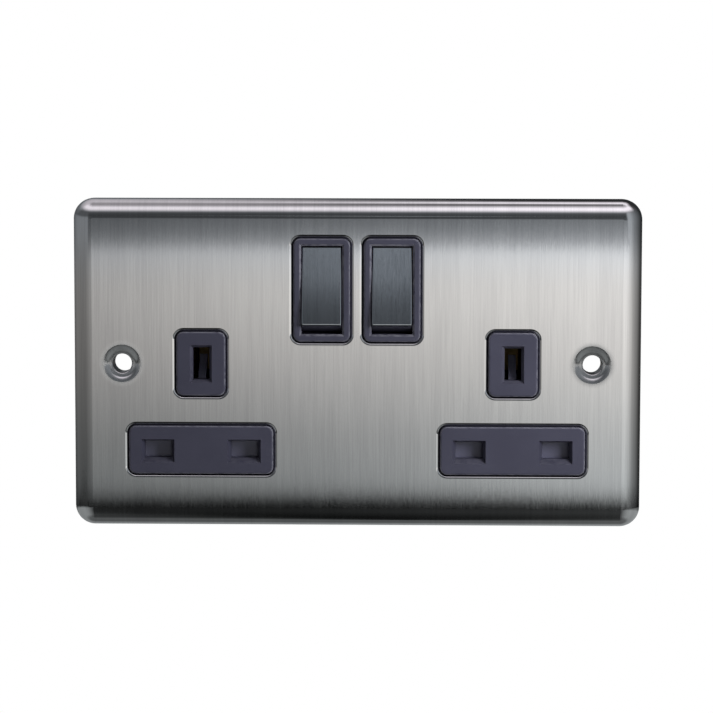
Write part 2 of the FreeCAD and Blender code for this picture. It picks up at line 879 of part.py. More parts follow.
def pin_clip(width, mouth, pinch, body, base_y, place, sweep_axis):
    """Sprung contact folded from one strip: two bowed arms and a flat base."""
    back = base_y + clip_thickness / 2
    depth = back - contact_mouth_y
    arm = [
        (contact_mouth_y, mouth),
        (contact_mouth_y + 0.38 * depth, pinch),
        (contact_mouth_y + 0.7 * depth, body),
        (back, body),
    ]
    path = arm + [(y, -offset) for y, offset in reversed(arm)]
    return bent_strip(path, clip_thickness, clip_bend, place, sweep_axis * width)


def line_clip(x):
    """Contact for a live or neutral pin, gripping it above and below."""
    return pin_clip(
        clip_width,
        clip_mouth_half,
        clip_pinch_half,
        clip_body_half,
        line_base_y,
        lambda y, offset: Vector(x - clip_width / 2, y, line_z + offset),
        Vector(1, 0, 0),
    )


def earth_contact(side):
    """Contact for the earth pin, gripping it left and right."""
    x = socket_x(side)
    return pin_clip(
        earth_clip_width,
        earth_clip_mouth_half,
        earth_clip_pinch_half,
        earth_clip_body_half,
        earth_base_y,
        lambda y, offset: Vector(x + offset, y, -earth_clip_width / 2),
        Vector(0, 0, 1),
    )


def live_contact(side):
    """Right-hand pin contact of a socket with its arm to the switch and the post that carries the see-saw."""
    pin_x = socket_x(side) + line_pin_offset
    x = switch_x(side)
    run = Vector(pin_x - x, 0, line_z - switch_height)
    across = Vector(-run.z, 0, run.x).normalize() * (live_arm_width / 2)
    start = Vector(x, strap_front_y, switch_height)
    corners = [start + across, start + run + across, start + run - across, start - across]
    arm = Part.Face(Part.makePolygon(corners + corners[:1])).extrude(Vector(0, strap_thickness, 0))
    base_height = 2 * clip_body_half + clip_thickness
    foot = block(clip_width, base_height, 0, strap_front_y, strap_back_y, pin_x, line_z)
    post_size = (tilt_post_width, 2 * tilt_post_half_height, 0)
    post = block(*post_size, tilt_pivot_y + tilt_post_gap, strap_back_y, x, switch_height)
    groove = Part.makeCylinder(
        tilt_roll_radius + tilt_roll_clearance,
        2 * tilt_width,
        Vector(x - tilt_width, tilt_pivot_y, switch_height),
        Vector(1, 0, 0),
    )
    return line_clip(pin_x).fuse([arm, foot, post.cut(groove)]).removeSplitter()


def neutral_contact(side):
    """Left-hand pin contact of a socket."""
    return line_clip(socket_x(side) - line_pin_offset)


def stepped_strap(x, width, low_z, depth):
    """Upright strap that steps forward to lie on the front of a terminal."""
    middle = strap_thickness / 2
    step_top = terminal_bottom_z - 1.0
    step_bottom = step_top - 0.9 * (depth - terminal_strap_y)
    path = [
        (depth + middle, low_z),
        (depth + middle, step_bottom),
        (terminal_strap_y + middle, step_top),
        (terminal_strap_y + middle, terminal_top_z),
    ]
    return bent_strip(
        path, strap_thickness, clip_bend, lambda y, z: Vector(x - width / 2, y, z), Vector(width, 0, 0)
    )


def neutral_bar():
    """Strap that joins both neutral contacts to their terminal."""
    foot_bottom = line_z - clip_body_half - clip_thickness / 2
    bar_top = foot_bottom - neutral_bar_gap
    bar_bottom = bar_top - neutral_bar_width
    pins = [socket_x(side) - line_pin_offset for side in SIDES]
    half = clip_width / 2
    pieces = []
    for x in pins:
        top = line_z + clip_body_half + clip_thickness / 2
        pieces.append(span(x - half, x + half, strap_front_y, strap_back_y, bar_bottom, top))
    bar = span(pins[0] - half, pins[1] + half, strap_front_y, strap_back_y, bar_bottom, bar_top)
    upright = stepped_strap(-line_terminal_x, neutral_strip_width, bar_bottom, strap_front_y)
    return bar.fuse(pieces + [upright]).removeSplitter()


def earth_bar():
    """Strap that joins both earth contacts to the two earth terminals."""
    half = earth_bar_width / 2
    reach = earth_terminal_x + earth_arm_width / 2
    bar = span(-reach, reach, earth_strap_front_y, floor_y, -half, half)
    arms = [
        stepped_strap(s * earth_terminal_x, earth_arm_width, -half, earth_strap_front_y)
        for s in (-1, 1)
    ]
    return bar.fuse(arms).removeSplitter()


def live_bus():
    """Strap from the live terminal behind both switches."""
    middle = strap_thickness / 2
    block_edge = line_terminal_x - terminal_width / 2
    far = line_terminal_x + terminal_width / 2
    path = [
        (-switch_spacing / 2 - contact_tip_radius - 1.0, strap_front_y + middle),
        (block_edge - 5.5, strap_front_y + middle),
        (block_edge - 2.0, terminal_strap_y + middle),
        (far, terminal_strap_y + middle),
    ]
    low = bus_z - bus_width / 2
    return bent_strip(
        path, strap_thickness, clip_bend, lambda x, y: Vector(x, y, low), Vector(0, 0, bus_width)
    )


def terminal(x):
    """Brass block with an upright wire bore and a tapped hole from the back."""
    body = block(
        terminal_width, terminal_length, 0, terminal_front_depth, floor_y, x, terminal_height
    )
    upright = [e for e in body.Edges if e.BoundBox.ZLength > terminal_length - 1e-3]
    body = body.makeFillet(terminal_edge, upright)
    bore = Part.makeCylinder(
        wire_bore_radius, terminal_length, Vector(x, wire_bore_depth, terminal_bottom_z)
    )
    tapping_radius = terminal_screw_radius + thread_clearance
    return body.cut([bore, rod(tapping_radius, wire_bore_depth, floor_y, x, terminal_height)])


def slotted_screw(x, z, shank_radius, tip_y, head_y, head_radius, head_height):
    """Screw with a slotted cheese head, driven from the back."""
    shank = rod(shank_radius, tip_y, head_y, x, z)
    head = rod(head_radius, head_y, head_y + head_height, x, z)
    rim = [e for e in head.Edges if abs(e.BoundBox.YMin - head_y - head_height) < 1e-4]
    head = head.makeFillet(head_height / 5, rim)
    half_slot = head_radius / 6
    slot_floor = head_y + head_height / 2
    slot = span(
        x - head_radius, x + head_radius, slot_floor, head_y + head_height, z - half_slot, z + half_slot
    )
    return shank.fuse(head).cut(slot).removeSplitter()


def terminal_screws():
    """Clamp screws of the four terminals, backed out as supplied."""
    tip = wire_bore_depth + wire_bore_radius + terminal_screw_backed_out
    head = floor_y + terminal_screw_backed_out
    sizes = (terminal_screw_radius, tip, head, terminal_screw_head_radius, terminal_screw_head_height)
    return Part.makeCompound([slotted_screw(x, terminal_height, *sizes) for x in terminal_xs()])


def assembly_screws():
    """Screws that hold the two mouldings together."""
    head = housing_depth - assembly_head_height
    tip = joint_depth - assembly_grip_length
    sizes = (assembly_shank_radius, tip, head, assembly_head_radius, assembly_head_height)
    return Part.makeCompound([slotted_screw(x, z, *sizes) for x, z in assembly_points()])


def shutter(side):
    """Sliding shutter: two blades that close the lower slots and a ramp in the earth slot that moves it down."""
    x = socket_x(side)
    middle_z = (shutter_bar_top + shutter_blade_bottom) / 2
    bar_height = shutter_bar_top - shutter_blade_bottom
    depths = (shutter_front_y, shutter_back_y)
    plate = block(2 * shutter_half_width, bar_height, 0, *depths, x, middle_z)
    stem = span(
        x - shutter_stem_half_width,
        x + shutter_stem_half_width,
        *depths,
        shutter_bar_top,
        shutter_stem_top,
    )
    removals = []
    half_window = line_slot_width / 2 + shutter_window_margin
    for sign in (-1, 1):
        inner = x + sign * (line_pin_offset - half_window)
        outer = x + sign * (shutter_half_width + 1)
        removals.append(
            span(
                inner,
                outer,
                shutter_front_y - 1,
                shutter_back_y + 1,
                shutter_blade_top,
                shutter_window_top,
            )
        )
        low_x = x + sign * line_pin_offset - half_window
        slope = [
            (low_x, shutter_front_y),
            (low_x + 2 * half_window, shutter_front_y),
            (low_x + 2 * half_window, shutter_front_y + shutter_slope_drop),
        ]
        blade_height = shutter_blade_top - shutter_blade_bottom
        removals.append(
            prism(slope, lambda a, b: Vector(a, b, shutter_blade_bottom), Vector(0, 0, blade_height))
        )
    slot_half = shutter_spring_radius + 4 * shutter_spring_room
    slot = (shutter_blade_bottom - 1, spring_slot_top)
    removals.append(
        span(x - slot_half, x + slot_half, shutter_front_y - 1, shutter_back_y + 1, *slot)
    )
    ramp_top = shutter_stem_top + ramp_depth
    ramp = [
        (shutter_front_y, shutter_stem_top - ramp_rib / 2),
        (shutter_front_y, shutter_stem_top),
        (shutter_front_y + ramp_depth, ramp_top),
        (shutter_front_y + ramp_depth, ramp_top - ramp_rib / 2),
        (shutter_back_y, shutter_stem_top - ramp_rib / 2),
    ]
    rib = prism(
        ramp, lambda a, b: Vector(x - ramp_width / 2, a, b), Vector(ramp_width, 0, 0)
    )
    return plate.fuse(stem).cut(removals).fuse(rib).removeSplitter()


def shutter_spring(side):
    """Spring between the moulding's peg and the shutter."""
    middle_y = (shutter_front_y + shutter_back_y) / 2
    return coil_spring(
        shutter_spring_radius,
        shutter_spring_wire,
        spring_slot_top - peg_top_z,
        shutter_spring_turns,
        Vector(socket_x(side), middle_y, peg_top_z),
        Vector(0, 0, 1),
    )


def shutter_retainer(side):
    """Thin guide plate that holds the shutter and its spring against the front moulding."""
    x = socket_x(side)
    depths = (retainer_front_y, retainer_back_y)
    low = -inner_front_height / 2 + shutter_clearance
    top = earth_slot_height / 2 + retainer_top_margin
    height = shutter_bar_top - low
    middle_z = low + height / 2
    bar = block(2 * shutter_half_width, height, inner_corner_radius, *depths, x, middle_z)
    stem = span(
        x - retainer_stem_half_width,
        x + retainer_stem_half_width,
        *depths,
        shutter_bar_top,
        top,
    )
    cut_depths = (retainer_front_y - 1, retainer_back_y + 1)
    removals = [
        block(earth_slot_width + 0.4, earth_slot_height + 0.4, 0, *cut_depths, x, 0.0),
    ]
    for sign in (-1, 1):
        pin_x = x + sign * line_pin_offset
        size = (line_slot_width + 0.4, line_slot_height + 0.4, 0)
        removals.append(block(*size, *cut_depths, pin_x, line_z))
        pillar_x = x + sign * pillar_offset
        hole_radius = pillar_radius + thread_clearance
        removals.append(rod(hole_radius, *cut_depths, pillar_x, pillar_height))
    slot_half = shutter_spring_radius + shutter_spring_room
    removals.append(
        span(x - slot_half, x + slot_half, *cut_depths, peg_bottom_z - thread_clearance, 0.0)
    )
    return bar.fuse(stem).cut(removals).removeSplitter()


def build_all():
    """Every sub-part by node name."""
    parts = {
        "faceplate": faceplate(),
        "front_moulding": front_moulding(),
        "rear_housing": rear_housing(),
        "neutral_bar": neutral_bar(),
        "earth_bar": earth_bar(),
        "live_bus": live_bus(),
        "fixed_contact_tips": fixed_tips(),
        "live_terminal": terminal(line_terminal_x),
        "neutral_terminal": terminal(-line_terminal_x),
        "earth_terminal_left": terminal(-earth_terminal_x),
        "earth_terminal_right": terminal(earth_terminal_x),
        "terminal_screws": terminal_screws(),
        "assembly_screws": assembly_screws(),
    }
    makers = {
        "fixing_eyelet": fixing_eyelet,
        "earth_tag": earth_tag,
        "rocker": rocker,
        "rocker_cap": rocker_cap,
        "plunger": plunger,
        "plunger_spring": plunger_spring,
        "tilting_contact": tilting_contact,
        "moving_contact_tip": moving_tip,
        "live_contact": live_contact,
        "neutral_contact": neutral_contact,
        "earth_contact": earth_contact,
        "shutter": shutter,
        "shutter_spring": shutter_spring,
        "shutter_retainer": shutter_retainer,
    }
    for name, make in makers.items():
        for side in SIDES:
            parts[f"{name}_{side}"] = make(side)
    return parts


os.makedirs("parts", exist_ok=True)
for node, shape in build_all().items():
    print(node, len(shape.Solids), shape.isValid(), round(shape.Volume, 2))
    shape.exportStep(f"parts/{node}.step")
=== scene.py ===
"""Finished look of a switched twin socket outlet.

A brushed steel plate carries dark moulded inserts and two rockers with steel caps.
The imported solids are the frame. Each class below dresses one sub-assembly of the outlet, models what the
solids leave out, and reports what it made. Lengths are in metres, +Z is up and the plate faces -Y.
"""

import logging
import math
from dataclasses import dataclass, replace
from enum import Enum
from functools import reduce
from typing import Dict, List, Optional, Sequence, Tuple, Union

import bpy
from mathutils import Matrix, Vector


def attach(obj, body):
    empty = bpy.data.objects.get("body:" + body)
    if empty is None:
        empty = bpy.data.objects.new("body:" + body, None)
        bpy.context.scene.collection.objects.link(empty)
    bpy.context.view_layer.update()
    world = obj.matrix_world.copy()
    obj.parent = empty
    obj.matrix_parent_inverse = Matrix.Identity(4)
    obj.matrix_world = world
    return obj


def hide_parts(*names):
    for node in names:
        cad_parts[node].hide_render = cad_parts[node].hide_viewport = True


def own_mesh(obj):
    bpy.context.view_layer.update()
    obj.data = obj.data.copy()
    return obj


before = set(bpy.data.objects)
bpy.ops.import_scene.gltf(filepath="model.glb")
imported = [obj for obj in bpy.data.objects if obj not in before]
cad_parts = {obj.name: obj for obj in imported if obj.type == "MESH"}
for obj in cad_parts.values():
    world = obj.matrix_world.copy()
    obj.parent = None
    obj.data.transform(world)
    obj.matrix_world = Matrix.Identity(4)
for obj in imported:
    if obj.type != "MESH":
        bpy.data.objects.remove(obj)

Socket = bpy.types.NodeSocket
Number = Union[float, Socket]
Colour = Tuple[float, float, float]
Place = Tuple[float, float, float]
Curve = Sequence[Tuple[float, float]]
Step = Tuple[float, ...]

log = logging.getLogger("twin_socket")

MM = 0.001
SIDES = ("left", "right")
WHITE = (1.0, 1.0, 1.0, 1.0)


# --- Wiring of shader nodes ---


class Wiring:
    """Adds and links nodes in one shader tree, column by column."""

    COLUMN = 6
    STEP = (220, -180)

    def __init__(self, tree: bpy.types.NodeTree) -> None:
        """Starts on an empty tree.

        Args:
            tree: the node tree of a material, world or group.
        """
        self.tree = tree
        self.count = 0

    def node(self, kind: str, **settings: object) -> bpy.types.Node:
        """Adds a node.

        Args:
            kind: Blender's name for the node type.
            settings: attributes to set on the node.

        Returns:
            The new node.
        """
        made = self.tree.nodes.new(kind)
        made.location = [step * part for step, part in zip(self.STEP, divmod(self.count, self.COLUMN))]
        self.count += 1
        for name, value in settings.items():
            setattr(made, name, value)
        return made

    def put(self, socket: Socket, value: object) -> None:
        """Links a socket to another, or sets its value.

        Args:
            socket: the input to feed.
            value: a socket, or a plain value.
        """
        if isinstance(value, Socket):
            self.tree.links.new(value, socket)
        else:
            socket.default_value = value

    def math(self, operation: str, a: Number, b: Number = 0.0, clamp: bool = False) -> Socket:
        """Adds a math node.

        Args:
            operation: Blender's name for the operation.
            a: first number or socket.
            b: second number or socket.
            clamp: whether the result is held between 0 and 1.

        Returns:
            The result's socket.
        """
        made = self.node("ShaderNodeMath", operation=operation, use_clamp=clamp)
        self.put(made.inputs[0], a)
        self.put(made.inputs[1], b)
        return made.outputs[0]

    def times(self, *values: Number) -> Socket:
        """Multiplies numbers.

        Args:
            values: two or more numbers or sockets.

        Returns:
            The product's socket.
        """
        return reduce(lambda a, b: self.math("MULTIPLY", a, b), values)

    def plus(self, *values: Number) -> Socket:
        """Adds up numbers.

        Args:
            values: two or more numbers or sockets.

        Returns:
            The sum's socket.
        """
        return reduce(lambda a, b: self.math("ADD", a, b), values)

    def distance(self, x: Socket, y: Socket) -> Socket:
        """Finds how far a point lies from an axis.

        Args:
            x: its place along one direction across the axis.
            y: its place along the other.

        Returns:
            The distance's socket.
        """
        return self.math("SQRT", self.plus(self.times(x, x), self.times(y, y)))

    def smooth(
        self, value: Number, start: float, end: float, low: float = 0.0, high: float = 1.0
    ) -> Socket:
        """Adds a soft step.

        Args:
            value: what the step follows.
            start: value at which the step begins.
            end: value at which the step is complete.
            low: result before the step.
            high: result after it.

        Returns:
            The result's socket.
        """
        made = self.node("ShaderNodeMapRange", interpolation_type="SMOOTHSTEP", clamp=True)
        self.put(made.inputs["Value"], value)
        made.inputs["From Min"].default_value = start
        made.inputs["From Max"].default_value = end
        made.inputs["To Min"].default_value = low
        made.inputs["To Max"].default_value = high
        return made.outputs["Result"]

    def curve(self, value: Number, stops: Curve) -> Socket:
        """Adds a ramp of numbers through the given stops.

        Args:
            value: what the ramp follows.
            stops: pairs of value and result, in order, with results from 0 to 1.

        Returns:
            The result's socket.
        """
        first, last = stops[0][0], stops[-1][0]
        spread = self.node("ShaderNodeMapRange", clamp=True)
        self.put(spread.inputs["Value"], value)
        spread.inputs["From Min"].default_value = first
        spread.inputs["From Max"].default_value = last
        ramp = self.node("ShaderNodeValToRGB")
        places = ramp.color_ramp.elements
        while len(places) < len(stops):
            places.new(0.5)
        for place, (at, _) in zip(places, stops):
            place.position = (at - first) / (last - first)
        for place, (_, result) in zip(places, stops):
            place.color = (result, result, result, 1.0)
        self.put(ramp.inputs["Fac"], spread.outputs["Result"])
        return ramp.outputs["Color"]

    def mix(self, factor: Number, a: object, b: object) -> Socket:
        """Mixes two colours.

        Args:
            factor: share of the second colour.
            a: first colour or socket.
            b: second colour or socket.

        Returns:
            The mixed colour's socket.
        """
        made = self.node("ShaderNodeMix", data_type="RGBA")
        self.put(made.inputs["Factor"], factor)
        for socket, value in zip([s for s in made.inputs if s.type == "RGBA"], (a, b)):
            self.put(socket, (*value, 1.0) if isinstance(value, tuple) and len(value) == 3 else value)
        return [s for s in made.outputs if s.type == "RGBA"][0]

    def noise(self, vector: Socket, scale: Number, detail: float, roughness: float) -> Socket:
        """Adds a noise texture.

        Args:
            vector: where the noise is read.
            scale: how fine it is.
            detail: number of octaves.
            roughness: weight of the finer octaves.

        Returns:
            The noise value's socket.
        """
        made = self.node("ShaderNodeTexNoise")
        self.put(made.inputs["Vector"], vector)
        self.put(made.inputs["Scale"], scale)
        made.inputs["Detail"].default_value = detail
        made.inputs["Roughness"].default_value = roughness
        return made.outputs["Fac"]

    def split(self, vector: Socket) -> Tuple[Socket, Socket, Socket]:
        """Takes a vector apart.

        Args:
            vector: the vector's socket.

        Returns:
            Sockets of its three parts.
        """
        made = self.node("ShaderNodeSeparateXYZ")
        self.put(made.inputs[0], vector)
        return made.outputs[0], made.outputs[1], made.outputs[2]

    def join(self, x: Number, y: Number, z: Number) -> Socket:
        """Makes a vector of three parts.

        Args:
            x: first part.
            y: second part.
            z: third part.

        Returns:
            The vector's socket.
        """
        made = self.node("ShaderNodeCombineXYZ")
        for socket, value in zip(made.inputs, (x, y, z)):
            self.put(socket, value)
        return made.outputs[0]


# --- Effects that several finishes share ---


class Effect(Enum):
    """Shared effects, each one shader node group."""

    BRUSHED_LINES = "brushed_lines"
    MOULDED_SKIN = "moulded_skin"
    HANDLING_MARKS = "handling_marks"
    # Lighter rounded edges: real wear on the metals, a painted highlight on the moulded plastics.
    RUBBED_EDGES = "rubbed_edges"


class EffectLibrary:
    """Builds each shared effect once and places it in materials."""

    LINE_LAYERS = ((1.0, 1.0, 3.7), (0.31, 0.6, 1.147), (0.06, 0.35, 0.222))
    LINE_DETAIL = (2.0, 0.6)
    TONE_STEP = (0.3, 0.7)
    GRAIN_DETAIL = (2.0, 0.7)
    CLOUDS_PER_METRE = 90.0
    CLOUD_DETAIL = (3.0, 0.55)
    CLOUD_STEP = (0.25, 0.75)
    PATCH_DETAIL = (4.0, 0.6)
    PATCH_STEP = (0.4, 0.75)
    SMEAR_STRETCH = (5.0, 1.4)
    SMEAR_DETAIL = (3.0, 0.65)
    SMEAR_STEP = (0.35, 0.8)
    TURNED_STEP = (0.72, 0.97, 1.0, 0.0)
    WEAR_PER_METRE = 700.0
    WEAR_DETAIL = (3.0, 0.6)
    WEAR_STEP = (0.3, 0.6)

    def __init__(self) -> None:
        """Makes the groups."""
        self.groups: Dict[Effect, bpy.types.NodeTree] = {
            Effect.BRUSHED_LINES: self._brushed_lines(),
            Effect.MOULDED_SKIN: self._moulded_skin(),
            Effect.HANDLING_MARKS: self._handling_marks(),
            Effect.RUBBED_EDGES: self._rubbed_edges(),
        }

    def place(self, wiring: Wiring, effect: Effect, **values: object) -> bpy.types.Node:
        """Places an effect in a material.

        Args:
            wiring: the material's wiring.
            effect: which effect.
            values: sockets or numbers for the group's inputs, with underscores for spaces.

        Returns:
            The group node.
        """
        made = wiring.node("ShaderNodeGroup", node_tree=self.groups[effect])
        for name, value in values.items():
            wiring.put(made.inputs[name.replace("_", " ")], value)
        return made

    @staticmethod
    def _start(
        effect: Effect, inputs: Dict[str, Optional[float]], outputs: Sequence[str]
    ) -> Tuple[Wiring, bpy.types.Node, bpy.types.Node]:
        """Makes an empty group with its sockets.

        Args:
            effect: which effect, for the group's name.
            inputs: default of each input, or None for a vector.
            outputs: names of the outputs, all plain numbers.

        Returns:
            The tree's wiring, and its input and output nodes.
        """
        tree = bpy.data.node_groups.new(effect.value, "ShaderNodeTree")
        for name, default in inputs.items():
            kind = "NodeSocketVector" if default is None else "NodeSocketFloat"
            socket = tree.interface.new_socket(name=name, in_out="INPUT", socket_type=kind)
            if default is not None:
                socket.default_value = default
        for name in outputs:
            tree.interface.new_socket(name=name, in_out="OUTPUT", socket_type="NodeSocketFloat")
        wiring = Wiring(tree)
        return wiring, wiring.node("NodeGroupInput"), wiring.node("NodeGroupOutput")

    def _brushed_lines(self) -> bpy.types.NodeTree:
        """Fine lines along the third axis of the vector, of mixed width and length.

        Returns:
            The group's tree, with outputs Tone and Height from 0 to 1.
        """
        wiring, given, result = self._start(
            Effect.BRUSHED_LINES,
            {"Vector": None, "Lines per metre": 5000.0, "Breaks per metre": 20.0, "Streak share": 0.5},
            ("Tone", "Height"),
        )
        across, _, along = wiring.split(given.outputs["Vector"])
        layers: List[Socket] = []
        for fineness, length, layer in self.LINE_LAYERS:
            u = wiring.times(across, wiring.times(given.outputs["Lines per metre"], fineness))
            w = wiring.times(along, wiring.times(given.outputs["Breaks per metre"], length))
            layers.append(wiring.noise(wiring.join(u, layer, w), 1.0, *self.LINE_DETAIL))
        fine = wiring.times(wiring.plus(layers[0], layers[1]), 0.5)
        spread = wiring.math("SUBTRACT", layers[2], fine)
        tone = wiring.plus(fine, wiring.times(spread, given.outputs["Streak share"]))
        wiring.put(result.inputs["Tone"], wiring.smooth(tone, *self.TONE_STEP))
        wiring.put(result.inputs["Height"], fine)
        return wiring.tree

    def _moulded_skin(self) -> bpy.types.NodeTree:
        """Fine sparked skin that a mould leaves on plastic, with faint flow clouds.

        Returns:
            The group's tree, with outputs Cloud and Height from 0 to 1.
        """
        wiring, given, result = self._start(
            Effect.MOULDED_SKIN, {"Vector": None, "Grains per metre": 4000.0}, ("Cloud", "Height")
        )
        place, grains = given.outputs["Vector"], given.outputs["Grains per metre"]
        grain = wiring.noise(place, grains, *self.GRAIN_DETAIL)
        cloud = wiring.noise(place, self.CLOUDS_PER_METRE, *self.CLOUD_DETAIL)
        wiring.put(result.inputs["Cloud"], wiring.smooth(cloud, *self.CLOUD_STEP))
        wiring.put(result.inputs["Height"], grain)
        return wiring.tree

    def _handling_marks(self) -> bpy.types.NodeTree:
        """Soft patches that hands and cloths leave, with thin smears.

        Returns:
            The group's tree, with output Mask from 0 to 1.
        """
        wiring, given, result = self._start(
            Effect.HANDLING_MARKS, {"Vector": None, "Patches per metre": 45.0}, ("Mask",)
        )
        place, patches = given.outputs["Vector"], given.outputs["Patches per metre"]
        patch = wiring.noise(place, patches, *self.PATCH_DETAIL)
        x, y, z = wiring.split(place)
        wide, tall = self.SMEAR_STRETCH
        smear_at = wiring.join(wiring.times(x, wide), y, wiring.times(z, tall))
        smear = wiring.noise(smear_at, patches, *self.SMEAR_DETAIL)
        both = wiring.times(wiring.smooth(patch, *self.PATCH_STEP), wiring.smooth(smear, *self.SMEAR_STEP))
        wiring.put(result.inputs["Mask"], both)
        return wiring.tree

    def _rubbed_edges(self) -> bpy.types.NodeTree:
        """Rounded edges, where the surface turns between the directions of flat faces, broken up by noise.
        The metals use it for wear, the plastics for a painted highlight.

        Returns:
            The group's tree, with output Mask from 0 to 1.
        """
        wiring, given, result = self._start(
            Effect.RUBBED_EDGES, {"Vector": None, "Normal": None}, ("Mask",)
        )
        parts = [wiring.math("ABSOLUTE", part) for part in wiring.split(given.outputs["Normal"])]
        flat = wiring.math("MAXIMUM", wiring.math("MAXIMUM", parts[0], parts[1]), parts[2])
        turned = wiring.smooth(flat, *self.TURNED_STEP)
        wear = wiring.noise(given.outputs["Vector"], self.WEAR_PER_METRE, *self.WEAR_DETAIL)
        wiring.put(result.inputs["Mask"], wiring.times(turned, wiring.smooth(wear, *self.WEAR_STEP)))
        return wiring.tree


# --- Finishes ---


class Grain(Enum):
    """Which way the lines of a brushed or rolled metal run."""

    UPRIGHT = (0, 1, 2)
    DEPTHWAYS = (0, 2, 1)
    ROUND = (2, 0, 1)


@dataclass(frozen=True)
class BrushedMetal:
    """A metal with lines that scatter light across them."""

    name: str
    colour: Colour
    shade: Colour
    roughness: float = 0.056
    roughness_swing: float = 0.012
    anisotropy: float = 1.0
    lines_per_metre: float = 5200.0
    breaks_per_metre: float = 70.0
    streak_share: float = 0.3
    line_depth: float = 1.6e-6
    grain: Grain = Grain.UPRIGHT
    wrap_half_width: float = 0.0
    wrap_width: float = 3 * MM
    scatter_per_metre: float = 16000.0
    scatter_breaks: float = 300.0
    scatter_detail: Tuple[float, float] = (1.0, 0.5)
    scatter_depth: float = 2.2e-6
    patches: float = 38.0
    mark_share: float = 0.12
    mark_roughness: float = 0.01
    turned_edge: float = 0.0
    turned_edge_width: float = 0.3 * MM
    turned_edge_fall: float = 0.05 * MM
    hole_offset: float = 0.0
    hole_inner: float = 4.1 * MM
    hole_outer: float = 6.4 * MM
    hole_roughness: float = 0.27

    def make(self, effects: EffectLibrary) -> bpy.types.Material:
        """Builds the material.

        Args:
            effects: the shared effects.

        Returns:
            The material.
        """
        material, wiring, shader = start_material(self.name)
        place = wiring.node("ShaderNodeTexCoord").outputs["Object"]
        parts = wiring.split(place)
        across, depth, along = (parts[i] for i in self.grain.value)
        if self.wrap_half_width > 0:
            wrapped = self.wrap_half_width + self.wrap_width
            side = wiring.smooth(wiring.math("ABSOLUTE", across), self.wrap_half_width, wrapped)
            turn = wiring.times(wiring.math("SIGN", across), wiring.times(depth, side))
            across = wiring.plus(across, turn)
        vector = wiring.join(across, depth, along)
        lines = effects.place(
            wiring, Effect.BRUSHED_LINES, Vector=vector, Lines_per_metre=self.lines_per_metre,
            Breaks_per_metre=self.breaks_per_metre, Streak_share=self.streak_share,
        )
        marks = effects.place(wiring, Effect.HANDLING_MARKS, Vector=place, Patches_per_metre=self.patches)
        tone = wiring.mix(lines.outputs["Tone"], self.shade, self.colour)
        marked = wiring.times(marks.outputs["Mask"], self.mark_share)
        wiring.put(shader.inputs["Base Color"], wiring.mix(marked, tone, self.shade))
        shader.inputs["Metallic"].default_value = 1.0
        swing = wiring.times(wiring.math("SUBTRACT", lines.outputs["Tone"], 0.5), self.roughness_swing)
        rough = wiring.plus(swing, self.roughness, wiring.times(marks.outputs["Mask"], self.mark_roughness))
        if self.hole_offset:
            rough = wiring.plus(rough, self._dulling(wiring, parts))
        wiring.put(shader.inputs["Roughness"], rough)
        shader.inputs["Anisotropic"].default_value = self.anisotropy
        cross = [0.0, 0.0, 0.0]
        cross[self.grain.value[0]] = 1.0
        wiring.put(shader.inputs["Tangent"], wiring.join(*cross))
        bump(wiring, shader, self._relief(wiring, vector, parts, lines.outputs["Height"]), 1.0)
        return material

    def _dulling(self, wiring: Wiring, parts: Sequence[Socket]) -> Socket:
        """Finds how much duller the pressed dimples round the fixing holes are.

        Args:
            wiring: the material's wiring.
            parts: the three object coordinates.

        Returns:
            Roughness to add.
        """
        side = wiring.math("SUBTRACT", wiring.math("ABSOLUTE", parts[0]), self.hole_offset)
        away = wiring.distance(side, parts[2])
        return wiring.smooth(away, self.hole_inner, self.hole_outer, self.hole_roughness, 0.0)

    def _relief(self, wiring: Wiring, vector: Socket, parts: Sequence[Socket], lines: Socket) -> Socket:
        """Adds up the height of the brushed lines and of a turned lower edge.

        Args:
            wiring: the material's wiring.
            vector: place across, in depth and along the lines.
            parts: the three object coordinates.
            lines: height of the lines from 0 to 1.

        Returns:
            The height in metres.
        """
        across, _, along = wiring.split(vector)
        fine_across = wiring.times(across, self.scatter_per_metre)
        fine_at = wiring.join(fine_across, 0.0, wiring.times(along, self.scatter_breaks))
        fine = wiring.times(wiring.noise(fine_at, 1.0, *self.scatter_detail), self.scatter_depth)
        relief = wiring.plus(wiring.times(lines, self.line_depth), fine)
        if self.turned_edge:
            fall = wiring.node("ShaderNodeMapRange", clamp=True)
            wiring.put(fall.inputs["Value"], parts[2])
            fall.inputs["From Min"].default_value = self.turned_edge
            fall.inputs["From Max"].default_value = self.turned_edge + self.turned_edge_width
            fall.inputs["To Max"].default_value = self.turned_edge_fall
            relief = wiring.plus(relief, fall.outputs["Result"])
        return relief


